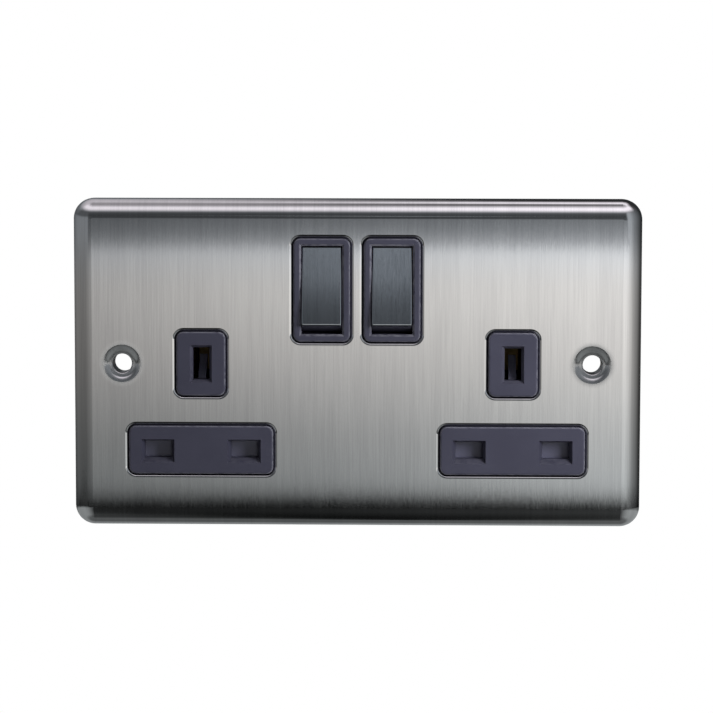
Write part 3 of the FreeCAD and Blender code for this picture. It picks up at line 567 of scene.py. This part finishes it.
@dataclass(frozen=True)
class CutMetal:
    """A metal that was rolled, turned or plated, with a dull cast and brighter rubbed edges."""

    name: str
    colour: Colour
    tarnish: Colour
    roughness: float = 0.32
    tarnish_share: float = 0.5
    lines_per_metre: float = 2600.0
    breaks_per_metre: float = 120.0
    streak_share: float = 0.3
    line_depth: float = 3.0e-6
    line_share: float = 0.25
    grain: Grain = Grain.DEPTHWAYS
    patches: float = 260.0
    edge_wear_and_highlight_share: float = 0.6
    rubbed_gain: float = 1.18
    rubbed_polish: float = 0.08
    tarnish_roughness: float = 0.2

    def make(self, effects: EffectLibrary) -> bpy.types.Material:
        """Builds the material.

        Args:
            effects: the shared effects.

        Returns:
            The material.
        """
        material, wiring, shader = start_material(self.name)
        place = wiring.node("ShaderNodeTexCoord").outputs["Object"]
        normal = wiring.node("ShaderNodeNewGeometry").outputs["Normal"]
        parts = wiring.split(place)
        vector = wiring.join(*(parts[i] for i in self.grain.value))
        lines = effects.place(
            wiring, Effect.BRUSHED_LINES, Vector=vector, Lines_per_metre=self.lines_per_metre,
            Breaks_per_metre=self.breaks_per_metre, Streak_share=self.streak_share,
        )
        marks = effects.place(wiring, Effect.HANDLING_MARKS, Vector=place, Patches_per_metre=self.patches)
        edges = effects.place(wiring, Effect.RUBBED_EDGES, Vector=place, Normal=normal)
        cast = wiring.math("MULTIPLY", marks.outputs["Mask"], self.tarnish_share, clamp=True)
        aged = wiring.mix(cast, self.colour, self.tarnish)
        lined = wiring.mix(wiring.times(lines.outputs["Tone"], self.line_share), aged, self.tarnish)
        # Rounded edges of the metals are rubbed brighter and smoother: wear.
        bright = tuple(min(1.0, self.rubbed_gain * part) for part in self.colour)
        worn_and_highlit = wiring.mix(wiring.times(edges.outputs["Mask"], self.edge_wear_and_highlight_share), lined, bright)
        wiring.put(shader.inputs["Base Color"], worn_and_highlit)
        shader.inputs["Metallic"].default_value = 1.0
        rough = wiring.plus(self.roughness, wiring.times(cast, self.tarnish_roughness))
        polish = wiring.times(edges.outputs["Mask"], self.rubbed_polish)
        wiring.put(shader.inputs["Roughness"], wiring.math("SUBTRACT", rough, polish))
        bump(wiring, shader, lines.outputs["Height"], self.line_depth)
        return material


@dataclass(frozen=True)
class MouldedPlastic:
    """A moulded plastic with a fine sparked skin, and a painted highlight on its rounded edges."""

    name: str
    colour: Colour
    cloud: Colour
    # Lighter colour on rounded edges, a painted highlight.
    edge: Colour
    roughness: float = 0.42
    specular_level: float = 0.5
    grains_per_metre: float = 4200.0
    grain_depth: float = 5.0e-6
    patches: float = 120.0
    mark_shine: float = -0.06
    cloud_roughness: float = 0.05
    # Share of the painted edge highlight.
    edge_wear_and_highlight_share: float = 0.55

    def make(self, effects: EffectLibrary) -> bpy.types.Material:
        """Builds the material.

        Args:
            effects: the shared effects.

        Returns:
            The material.
        """
        material, wiring, shader = start_material(self.name)
        place = wiring.node("ShaderNodeTexCoord").outputs["Object"]
        normal = wiring.node("ShaderNodeNewGeometry").outputs["Normal"]
        skin = effects.place(
            wiring, Effect.MOULDED_SKIN, Vector=place, Grains_per_metre=self.grains_per_metre
        )
        marks = effects.place(wiring, Effect.HANDLING_MARKS, Vector=place, Patches_per_metre=self.patches)
        edges = effects.place(wiring, Effect.RUBBED_EDGES, Vector=place, Normal=normal)
        base = wiring.mix(skin.outputs["Cloud"], self.colour, self.cloud)
        # Rounded edges take the lighter edge colour: a painted highlight, broken up by noise.
        worn_and_highlit = wiring.mix(wiring.times(edges.outputs["Mask"], self.edge_wear_and_highlight_share), base, self.edge)
        wiring.put(shader.inputs["Base Color"], worn_and_highlit)
        shine = wiring.times(marks.outputs["Mask"], self.mark_shine)
        clouded = wiring.times(skin.outputs["Cloud"], self.cloud_roughness)
        wiring.put(shader.inputs["Roughness"], wiring.plus(shine, clouded, self.roughness))
        shader.inputs["Specular IOR Level"].default_value = self.specular_level
        bump(wiring, shader, skin.outputs["Height"], self.grain_depth)
        return material


def start_material(name: str) -> Tuple[bpy.types.Material, Wiring, bpy.types.Node]:
    """Makes a material that holds one surface shader.

    Args:
        name: the material's name.

    Returns:
        The material, its wiring and its surface shader.
    """
    material = bpy.data.materials.new(name)
    material.use_nodes = True
    material.node_tree.nodes.clear()
    wiring = Wiring(material.node_tree)
    shader = wiring.node("ShaderNodeBsdfPrincipled")
    output = wiring.node("ShaderNodeOutputMaterial")
    wiring.put(output.inputs["Surface"], shader.outputs["BSDF"])
    return material, wiring, shader


def bump(wiring: Wiring, shader: bpy.types.Node, height: Socket, depth: float) -> None:
    """Feeds a relief into the shader's normal.

    Args:
        wiring: the material's wiring.
        shader: the surface shader.
        height: the relief.
        depth: metres that one unit of the relief stands for.
    """
    made = wiring.node("ShaderNodeBump")
    made.inputs["Strength"].default_value = 1.0
    made.inputs["Distance"].default_value = depth
    wiring.put(made.inputs["Height"], height)
    wiring.put(shader.inputs["Normal"], made.outputs["Normal"])


Finish = Union[BrushedMetal, CutMetal, MouldedPlastic]


# --- Sub-assemblies ---


@dataclass
class SubAssembly:
    """What all sub-assemblies share: the effects, and how solids get a finish."""

    effects: EffectLibrary

    def build(self) -> None:
        """Finishes the sub-assembly's solids and models what they leave out."""
        raise NotImplementedError

    def dress(self, finish: Finish, *names: str) -> bpy.types.Material:
        """Gives solids of the frame a finish.

        Args:
            finish: the finish.
            names: the nodes that get it.

        Returns:
            The finish's material.
        """
        material = finish.make(self.effects)
        for name in names:
            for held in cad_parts[name].material_slots:
                held.material = material
            log.info("%s: finished in %s", name, finish.name)
        return material


@dataclass
class SteelPlate(SubAssembly):
    """The pressed faceplate."""

    finish: BrushedMetal = BrushedMetal(
        name="brushed_plate_steel", colour=(0.66, 0.655, 0.645), shade=(0.56, 0.555, 0.55),
        wrap_half_width=66.5 * MM, hole_offset=60.3 * MM,
    )

    def build(self) -> None:
        """Finishes the plate."""
        self.dress(self.finish, "faceplate")


@dataclass
class FrontMoulding(SubAssembly):
    """The dark moulding whose pads and bezels show through the plate."""

    finish: MouldedPlastic = MouldedPlastic(
        name="insert_plastic", colour=(0.0222, 0.0222, 0.0345), cloud=(0.0262, 0.0262, 0.040),
        # edge: painted highlight on the rounded edges
        edge=(0.125, 0.125, 0.142),
    )

    def build(self) -> None:
        """Finishes the moulding."""
        self.dress(self.finish, "front_moulding")


@dataclass
class RockerSwitches(SubAssembly):
    """The two rockers with their steel caps."""

    cap: BrushedMetal = BrushedMetal(
        name="brushed_cap_steel", colour=(0.60, 0.625, 0.655), shade=(0.50, 0.525, 0.555),
        turned_edge=9.98 * MM, turned_edge_width=0.5 * MM, turned_edge_fall=0.085 * MM,
    )
    body: MouldedPlastic = replace(FrontMoulding.finish, name="rocker_plastic")

    def build(self) -> None:
        """Finishes the rockers."""
        self.dress(self.cap, *(f"rocker_cap_{side}" for side in SIDES))
        self.dress(self.body, *(f"rocker_{side}" for side in SIDES))


@dataclass
class Shutters(SubAssembly):
    """The sliding shutters, with the retainers that guide them."""

    blade: MouldedPlastic = MouldedPlastic(
        name="shutter_plastic", colour=(0.040, 0.040, 0.062), cloud=(0.046, 0.046, 0.070),
        # edge: painted highlight on the rounded edges
        edge=(0.075, 0.075, 0.10), roughness=0.34,
    )
    retainer: MouldedPlastic = MouldedPlastic(
        name="retainer_plastic", colour=(0.03, 0.03, 0.034), cloud=(0.036, 0.036, 0.04),
        # edge: painted highlight on the rounded edges
        edge=(0.07, 0.07, 0.075), roughness=0.5,
    )

    def build(self) -> None:
        """Finishes shutters and retainers."""
        self.dress(self.blade, *(f"shutter_{side}" for side in SIDES))
        self.dress(self.retainer, *(f"shutter_retainer_{side}" for side in SIDES))


@dataclass
class Housing(SubAssembly):
    """The rear housing."""

    finish: MouldedPlastic = MouldedPlastic(
        name="housing_plastic", colour=(0.030, 0.030, 0.034), cloud=(0.036, 0.036, 0.041),
        # edge: painted highlight on the rounded edges
        edge=(0.075, 0.075, 0.08), roughness=0.48, grain_depth=9.0e-6, grains_per_metre=2600.0,
    )

    def build(self) -> None:
        """Finishes the housing."""
        self.dress(self.finish, "rear_housing")


@dataclass(frozen=True)
class CoilSpring:
    """A spring of round wire, which stands for the frame's coarse coil."""

    node: str
    body: str
    joint: str
    radius: float
    wire: float
    length: float
    turns: int
    travel: float
    tilt: float
    wire_sides: int = 12
    steps_per_turn: int = 28
    smooth_below: float = 40.0

    def build(self, side: str, material: bpy.types.Material) -> None:
        """Winds the spring where the frame's coil stands.

        Args:
            side: left or right.
            material: the wire's material.
        """
        node = f"{self.node}_{side}"
        middle = self._middle(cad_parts[node])
        angle = math.radians(self.tilt)
        direction = Vector((0.0, math.cos(angle), math.sin(angle)))
        bpy.ops.object.select_all(action="DESELECT")
        bpy.ops.mesh.primitive_circle_add(
            vertices=self.wire_sides,
            radius=self.wire / 2,
            location=(self.radius - self.wire / 2, 0.0, 0.0),
            rotation=(math.pi / 2, 0.0, 0.0),
        )
        coil = bpy.context.active_object
        coil.name = f"wound_{node}"
        bpy.ops.object.transform_apply(location=True, rotation=True, scale=True)
        self._wind(coil)
        coil.location = middle - direction * (self.length - self.wire) / 2
        coil.rotation_euler = direction.to_track_quat("Z", "Y").to_euler()
        bpy.ops.object.transform_apply(location=True, rotation=True, scale=True)
        coil.data.materials.append(material)
        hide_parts(node)
        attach(coil, self.body.format(side))
        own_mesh(coil)
        log.info("%s: %d turns, %.1f mm long", coil.name, self.turns, self.length / MM)

    @staticmethod
    def _middle(node: bpy.types.Object) -> Vector:
        """Finds the middle of a solid's box.

        Args:
            node: the solid.

        Returns:
            The middle, in the frame.
        """
        corners = [node.matrix_world @ Vector(corner) for corner in node.bound_box]
        return Vector([(min(part) + max(part)) / 2 for part in zip(*corners)])

    def _wind(self, coil: bpy.types.Object) -> None:
        """Sweeps the wire's section round the axis and closes its ends.

        Args:
            coil: the section, active and selected.
        """
        winding = coil.modifiers.new("winding", "SCREW")
        winding.axis = "Z"
        winding.iterations = self.turns
        winding.screw_offset = (self.length - self.wire) / self.turns
        winding.steps = winding.render_steps = self.steps_per_turn
        bpy.ops.object.modifier_apply(modifier=winding.name)
        bpy.ops.object.mode_set(mode="EDIT")
        bpy.ops.mesh.select_all(action="DESELECT")
        bpy.ops.mesh.select_non_manifold()
        bpy.ops.mesh.fill_holes(sides=self.wire_sides)
        bpy.ops.mesh.select_all(action="SELECT")
        bpy.ops.mesh.normals_make_consistent(inside=False)
        bpy.ops.object.mode_set(mode="OBJECT")
        bpy.ops.object.shade_smooth_by_angle(angle=math.radians(self.smooth_below))


@dataclass
class Conductors(SubAssembly):
    """Brass strips, pin contacts, terminals, contact tips, plungers and springs."""

    strip: CutMetal = CutMetal(
        name="rolled_brass", colour=(0.72, 0.53, 0.25), tarnish=(0.42, 0.28, 0.12), roughness=0.3
    )
    # Pin contacts deep in the slots: their brass is painted darker as the shade that falls there.
    shade_darkened_pin_brass: CutMetal = CutMetal(
        name="pin_brass_painted_shade", colour=(0.40, 0.29, 0.13), tarnish=(0.20, 0.13, 0.06), roughness=0.38
    )
    block: CutMetal = CutMetal(
        name="drawn_terminal_brass", colour=(0.74, 0.56, 0.28), tarnish=(0.45, 0.31, 0.14), roughness=0.26,
        grain=Grain.UPRIGHT,
    )
    silver: CutMetal = CutMetal(
        name="contact_silver", colour=(0.82, 0.81, 0.78), tarnish=(0.55, 0.53, 0.48), roughness=0.25
    )
    spring: CutMetal = CutMetal(
        name="spring_wire", colour=(0.55, 0.55, 0.56), tarnish=(0.33, 0.33, 0.34), roughness=0.28
    )
    plunger: CutMetal = CutMetal(
        name="plunger_steel", colour=(0.6, 0.6, 0.61), tarnish=(0.4, 0.4, 0.41)
    )
    springs: Tuple[CoilSpring, ...] = (
        CoilSpring(
            node="plunger_spring", body="rocker_{}", joint="plunger_slide_{}",
            radius=1.4 * MM, wire=0.35 * MM, length=4.8 * MM, turns=4, travel=0.8 * MM, tilt=-8.5,
        ),
        CoilSpring(
            node="shutter_spring", body="outlet", joint="shutter_slide_{}",
            radius=1.2 * MM, wire=0.3 * MM, length=12.03 * MM, turns=6, travel=5.8 * MM, tilt=90.0,
        ),
    )

    def build(self) -> None:
        """Finishes the conductors and springs."""
        strips = [f"{name}_{side}" for name in ("tilting_contact", "earth_tag") for side in SIDES]
        self.dress(self.strip, "earth_bar", "neutral_bar", "live_bus", *strips)
        sockets = ("earth_contact", "live_contact", "neutral_contact")
        self.dress(self.shade_darkened_pin_brass, *(f"{name}_{side}" for name in sockets for side in SIDES))
        earths = [f"earth_terminal_{side}" for side in SIDES]
        self.dress(self.block, "live_terminal", "neutral_terminal", *earths)
        self.dress(self.silver, "fixed_contact_tips", *(f"moving_contact_tip_{side}" for side in SIDES))
        coils = [f"{spring.node}_{side}" for spring in self.springs for side in SIDES]
        wire = self.dress(self.spring, *coils)
        for spring in self.springs:
            for side in SIDES:
                spring.build(side, wire)
        self.dress(self.plunger, *(f"plunger_{side}" for side in SIDES))


@dataclass
class Fasteners(SubAssembly):
    """Eyelets, terminal screws and assembly screws."""

    eyelet: CutMetal = CutMetal(
        name="eyelet_steel", colour=(0.88, 0.86, 0.82), tarnish=(0.42, 0.38, 0.31), roughness=0.2,
        grain=Grain.ROUND, tarnish_share=0.7,
    )
    brass_screw: CutMetal = CutMetal(
        name="turned_screw_brass", colour=(0.76, 0.61, 0.33), tarnish=(0.45, 0.34, 0.17), roughness=0.24
    )
    steel_screw: CutMetal = CutMetal(
        name="plated_screw_steel", colour=(0.62, 0.62, 0.6), tarnish=(0.42, 0.42, 0.38), roughness=0.28
    )

    def build(self) -> None:
        """Finishes the fasteners."""
        self.dress(self.eyelet, *(f"fixing_eyelet_{side}" for side in SIDES))
        self.dress(self.brass_screw, "terminal_screws")
        self.dress(self.steel_screw, "assembly_screws")


# --- Studio ---


@dataclass(frozen=True)
class Look:
    """A direction away from the outlet, as sockets of the world's tree."""

    rise: Socket
    swing: Socket
    across: Socket

    @classmethod
    def start(cls, wiring: Wiring) -> "Look":
        """Reads the direction.

        Args:
            wiring: the world's wiring.

        Returns:
            Its height and its turn to the right from the front, in degrees, and its part to the right.
        """
        x, y, z = wiring.split(wiring.node("ShaderNodeTexCoord").outputs["Generated"])
        degree = math.degrees(1.0)
        rise = wiring.times(wiring.math("ARCSINE", z), degree)
        swing = wiring.times(wiring.math("ARCTAN2", x, wiring.times(y, -1.0)), degree)
        return cls(rise, swing, x)


@dataclass(frozen=True)
class FrontPanel:
    """The wide, low panel that the plate's face mirrors, brightest at its upper right."""

    top: Curve = ((-7.0, 0.52), (-0.5, 0.80), (3.6, 1.0))
    bottom: Curve = ((-7.0, 0.23), (-0.5, 0.335), (3.6, 0.6))
    height: Curve = ((-8.0, 0.0), (-6.9, 0.14), (-5.2, 0.63), (-4.1, 0.92), (-3.2, 1.0))
    lower_edge: Curve = (
        (-8.3, 0.0), (-8.27, 0.22), (-8.18, 0.5), (-8.05, 0.82), (-7.9, 0.97), (-7.75, 1.0),
    )
    upper_edge: Curve = (
        (-3.12, 1.0), (-2.88, 0.47), (-2.7, 0.34), (-2.45, 0.215), (-2.36, 0.16), (-2.22, 0.0),
    )
    lean: Step = (-7.0, 7.0, -0.07, -0.03)
    width: Curve = (
        (-160.0, 0.1), (-110.0, 0.3), (-45.0, 0.34), (-20.0, 0.52), (-6.0, 0.74), (-4.5, 0.8), (2.8, 0.8),
        (10.0, 0.9), (20.0, 0.92), (42.0, 0.72), (68.0, 0.38), (100.0, 0.2), (125.0, 0.05),
    )
    power: float = 1.4375

    def level(self, wiring: Wiring, look: Look) -> Socket:
        """Gives the panel's brightness.

        Args:
            wiring: the world's wiring.
            look: the direction.

        Returns:
            The brightness.
        """
        low, high = wiring.curve(look.swing, self.bottom), wiring.curve(look.swing, self.top)
        body = wiring.mix(wiring.curve(look.rise, self.height), low, high)
        leaned = wiring.plus(look.rise, wiring.smooth(look.swing, *self.lean))
        lower, upper = wiring.curve(leaned, self.lower_edge), wiring.curve(look.rise, self.upper_edge)
        return wiring.times(body, lower, upper, wiring.curve(look.swing, self.width), self.power)


@dataclass(frozen=True)
class Overhead:
    """Strip lamps above, in front of the plate and behind it, and a small panel that the rockers mirror."""

    front: Curve = (
        (-2.6, 0.0), (-2.2, 0.07), (8.0, 0.06), (12.0, 0.045), (14.0, 0.045), (20.0, 0.055), (29.0, 0.07),
        (36.0, 0.15), (42.0, 0.42), (52.0, 0.86), (62.0, 0.94), (70.0, 0.66), (78.0, 0.36), (90.0, 0.26),
    )
    left_behind: Curve = (
        (-12.0, 0.0), (0.0, 0.05), (28.0, 0.16), (42.0, 0.42), (62.0, 0.56), (72.0, 0.54), (82.0, 0.32),
        (90.0, 0.26),
    )
    right_behind: Curve = ((30.0, 0.0), (54.0, 0.02), (64.0, 0.4), (73.0, 0.85), (82.0, 0.5), (90.0, 0.26))
    to_right: Step = (-0.12, 0.05)
    to_behind: Step = (70.0, 115.0)
    power: float = 1.46
    gain: Step = (-5.0, 4.0, 0.88, 1.14)
    dip: Step = (77.0, 86.0, 0.0, 0.6)
    dip_side: Step = (-0.08, 0.02)
    small: Curve = (
        (12.3, 0.0), (12.6, 0.06), (12.85, 0.19), (13.1, 0.42), (13.35, 0.75), (13.7, 0.86), (14.3, 1.0),
        (15.4, 0.0),
    )
    small_power: float = 0.28
    small_swing: float = -1.2
    small_width: Step = (2.6, 1.4)
    glow_edges: Tuple[Step, Step] = ((11.6, 12.2), (15.4, 14.3))
    glow_side: Step = (-1.6, -0.8, 0.0, 0.075)

    def level(self, wiring: Wiring, look: Look) -> Socket:
        """Gives the brightness of the strips and of the small panel.

        Args:
            wiring: the world's wiring.
            look: the direction.

        Returns:
            The brightness.
        """
        behind = wiring.mix(
            wiring.smooth(look.across, *self.to_right),
            wiring.curve(look.rise, self.left_behind),
            wiring.curve(look.rise, self.right_behind),
        )
        turned = wiring.smooth(wiring.math("ABSOLUTE", look.swing), *self.to_behind)
        strips = wiring.mix(turned, wiring.curve(look.rise, self.front), behind)
        dip = wiring.times(wiring.smooth(look.rise, *self.dip), wiring.smooth(look.across, *self.dip_side))
        gain = wiring.times(wiring.smooth(look.swing, *self.gain), wiring.math("SUBTRACT", 1.0, dip))
        return wiring.plus(wiring.times(strips, self.power, gain), self._small_panel(wiring, look))

    def _small_panel(self, wiring: Wiring, look: Look) -> Socket:
        """Gives the brightness of the small panel.

        Args:
            wiring: the world's wiring.
            look: the direction.

        Returns:
            The brightness.
        """
        body = wiring.times(wiring.curve(look.rise, self.small), self.small_power)
        lower, upper = (wiring.smooth(look.rise, *edge) for edge in self.glow_edges)
        glow = wiring.times(lower, wiring.smooth(look.swing, *self.glow_side), upper)
        aside = wiring.math("ABSOLUTE", wiring.math("SUBTRACT", look.swing, self.small_swing))
        return wiring.times(wiring.plus(body, glow), wiring.smooth(aside, *self.small_width))


@dataclass(frozen=True)
class SideScreens:
    """The tall soft screens left and right of the camera, the left one brighter low down."""

    height: Curve = (
        (-8.5, 0.0), (-8.2, 0.12), (-7.7, 0.4), (-6.0, 0.7), (-4.0, 1.0), (-3.2, 0.95), (-2.6, 0.62),
        (40.0, 0.6), (80.0, 0.3),
    )
    width: Curve = (
        (-160.0, 0.06), (-100.0, 0.19), (-28.0, 0.19), (-16.0, 0.0), (16.0, 0.0), (28.0, 0.8), (42.0, 0.84),
        (68.0, 0.46), (99.0, 0.22), (130.0, 0.06),
    )
    boost: Tuple[Step, Step] = ((-3.4, -2.6), (14.0, 2.0))
    boost_side: Step = (-18.0, -26.0, 0.0, 1.3)

    def level(self, wiring: Wiring, look: Look) -> Socket:
        """Gives the screens' brightness.

        Args:
            wiring: the world's wiring.
            look: the direction.

        Returns:
            The brightness.
        """
        body = wiring.times(wiring.curve(look.rise, self.height), wiring.curve(look.swing, self.width))
        lower, upper = (wiring.smooth(look.rise, *edge) for edge in self.boost)
        boost = wiring.times(lower, upper, wiring.smooth(look.swing, *self.boost_side))
        return wiring.times(body, wiring.plus(boost, 1.0))


@dataclass(frozen=True)
class Ground:
    """Dark cloth below the front panel, and the paler room to its sides."""

    cloth: Curve = ((-90.0, 0.08), (-60.0, 0.2), (-30.0, 0.5), (-10.0, 0.5), (-8.6, 0.0))
    cloth_gain: Step = (-6.0, 14.0, 0.033, 0.16)
    room: Curve = ((8.0, 0.0), (13.0, 0.07), (24.0, 0.18), (40.0, 0.29), (60.0, 0.36), (180.0, 0.3))
    room_edges: Tuple[Step, Step] = ((-9.5, -18.0), (-70.0, -50.0, 0.4, 1.0))

    def level(self, wiring: Wiring, look: Look) -> Socket:
        """Gives the brightness of the cloth and the room.

        Args:
            wiring: the world's wiring.
            look: the direction.

        Returns:
            The brightness.
        """
        gain = wiring.smooth(look.swing, *self.cloth_gain)
        cloth = wiring.times(wiring.curve(look.rise, self.cloth), gain)
        upper, lower = (wiring.smooth(look.rise, *edge) for edge in self.room_edges)
        aside = wiring.curve(wiring.math("ABSOLUTE", look.swing), self.room)
        return wiring.plus(cloth, wiring.times(aside, upper, lower))


@dataclass(frozen=True)
class Lamp:
    """A soft square lamp that points at the outlet and isn't mirrored."""

    name: str
    place: Place
    size: float
    power: float

    def build(self) -> None:
        """Hangs the lamp."""
        lamp = bpy.data.lights.new(self.name, "AREA")
        lamp.shape = "SQUARE"
        lamp.size = self.size
        lamp.energy = self.power
        held = bpy.data.objects.new(self.name, lamp)
        bpy.context.scene.collection.objects.link(held)
        held.location = self.place
        held.rotation_euler = Vector(self.place).to_track_quat("Z", "Y").to_euler()
        held.visible_glossy = False


@dataclass
class Studio:
    """Pale floor, lamps and the soft light of a photographer's room."""

    floor_level: float = -0.30
    floor_radius: float = 1.4
    floor_vertices: int = 96
    floor_colour: Tuple[float, float, float, float] = (0.8, 0.8, 0.8, 1.0)
    fade_start: float = 0.22
    fade_end: float = 0.55
    lamps: Tuple[Lamp, ...] = (
        Lamp("key_lamp", (0.19, -0.17, 0.07), 0.12, 1.35),
        Lamp("fill_lamp", (0.10, -0.70, 0.0), 0.25, 0.9),
        Lamp("back_lamp", (-0.35, 0.70, 0.45), 0.6, 7.0),
    )
    lowest_tint: Colour = (0.93, 0.987, 1.012)
    tints: Tuple[Tuple[Step, Colour], ...] = (
        ((-8.5, -5.0), (1.01, 0.997, 0.985)),
        ((-4.0, -2.4), (0.93, 1.0, 1.09)),
        ((25.0, 50.0), (1.02, 0.975, 1.06)),
    )

    def build(self) -> None:
        """Sets up floor, lamps and surroundings."""
        self._floor()
        for lamp in self.lamps:
            lamp.build()
        self._surroundings()
        bpy.context.scene.view_settings.view_transform = "Standard"
        log.info("studio: floor, %d lamps and surroundings", len(self.lamps))

    def _floor(self) -> None:
        """Makes the floor, which fades into the pale background."""
        bpy.ops.object.select_all(action="DESELECT")
        bpy.ops.mesh.primitive_circle_add(
            vertices=self.floor_vertices, radius=self.floor_radius, fill_type="NGON",
            location=(0, 0, self.floor_level),
        )
        floor = bpy.context.active_object
        floor.name = "studio_floor"
        bpy.ops.object.transform_apply(location=True, rotation=True, scale=True)
        material = bpy.data.materials.new("pale_floor")
        material.use_nodes = True
        material.node_tree.nodes.clear()
        wiring = Wiring(material.node_tree)
        x, y, _ = wiring.split(wiring.node("ShaderNodeTexCoord").outputs["Object"])
        away = wiring.smooth(wiring.distance(x, y), self.fade_start, self.fade_end)
        seen = wiring.node("ShaderNodeLightPath").outputs["Is Camera Ray"]
        matt = wiring.node("ShaderNodeBsdfDiffuse")
        matt.inputs["Color"].default_value = self.floor_colour
        glow = wiring.node("ShaderNodeEmission")
        glow.inputs["Color"].default_value = WHITE
        self._blend(wiring, wiring.times(away, seen), matt, glow, "ShaderNodeOutputMaterial")
        floor.data.materials.append(material)
        floor.visible_glossy = False

    def _surroundings(self) -> None:
        """Lights the room, and shows plain white to the camera."""
        world = bpy.data.worlds.new("studio_room")
        world.use_nodes = True
        world.node_tree.nodes.clear()
        wiring = Wiring(world.node_tree)
        look = Look.start(wiring)
        lit = wiring.plus(*(part.level(wiring, look) for part in (FrontPanel(), Overhead(), Ground())))
        tint = self.lowest_tint
        for step, colour in self.tints:
            tint = wiring.mix(wiring.smooth(look.rise, *step), tint, colour)
        glow = wiring.node("ShaderNodeBackground")
        wiring.put(glow.inputs["Color"], tint)
        screens = SideScreens().level(wiring, look)
        wiring.put(glow.inputs["Strength"], wiring.math("MAXIMUM", lit, screens))
        white = wiring.node("ShaderNodeBackground")
        white.inputs["Color"].default_value = WHITE
        seen = wiring.node("ShaderNodeLightPath").outputs["Is Camera Ray"]
        self._blend(wiring, seen, glow, white, "ShaderNodeOutputWorld")
        bpy.context.scene.world = world

    @staticmethod
    def _blend(
        wiring: Wiring, share: Socket, first: bpy.types.Node, second: bpy.types.Node, output: str
    ) -> None:
        """Feeds two shaders, mixed, to the output.

        Args:
            wiring: the wiring of the material or world.
            share: share of the second shader.
            first: first shader.
            second: second shader.
            output: Blender's name for the output node.
        """
        blend = wiring.node("ShaderNodeMixShader")
        for socket, value in zip(blend.inputs, (share, first.outputs[0], second.outputs[0])):
            wiring.put(socket, value)
        wiring.put(wiring.node(output).inputs["Surface"], blend.outputs[0])


@dataclass
class PhotoCamera:
    """The camera, where the photograph was taken from."""

    swing: float = 1.308
    rise: float = 5.358
    roll: float = 0.099
    distance: float = 0.720
    focal_pixels: float = 2782.7
    centre: Tuple[float, float] = (357.40, 361.74)
    image_size: float = 713.0
    sensor: float = 36.0

    def build(self) -> None:
        """Makes the camera and looks through it."""
        a, e, r = (math.radians(v) for v in (self.swing, self.rise, self.roll))
        back = Vector((math.sin(a) * math.cos(e), -math.cos(a) * math.cos(e), math.sin(e)))
        right = Vector((math.cos(a), math.sin(a), 0.0))
        up = back.cross(right)
        turned_right = math.cos(r) * right + math.sin(r) * up
        turned_up = math.cos(r) * up - math.sin(r) * right
        data = bpy.data.cameras.new("photo_camera")
        data.sensor_width = self.sensor
        data.lens = self.focal_pixels / self.image_size * self.sensor
        half = self.image_size / 2
        data.shift_x = (half - self.centre[0]) / self.image_size
        data.shift_y = (self.centre[1] - half) / self.image_size
        data.clip_start = 0.01
        data.clip_end = 20.0
        camera = bpy.data.objects.new("photo_camera", data)
        bpy.context.scene.collection.objects.link(camera)
        turn = Matrix((turned_right, turned_up, back)).transposed().to_4x4()
        camera.matrix_world = Matrix.Translation(back * self.distance) @ turn
        bpy.context.scene.camera = camera
        log.info("camera: %.1f mm lens, %.0f mm away", data.lens, self.distance / MM)


def main() -> None:
    """Builds every sub-assembly, the studio and the camera."""
    logging.basicConfig(level=logging.INFO, format="%(message)s")
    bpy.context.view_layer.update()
    effects = EffectLibrary()
    for make in (SteelPlate, FrontMoulding, RockerSwitches, Shutters, Housing, Conductors, Fasteners):
        make(effects).build()
    Studio().build()
    PhotoCamera().build()


if __name__ == "__main__":
    main()
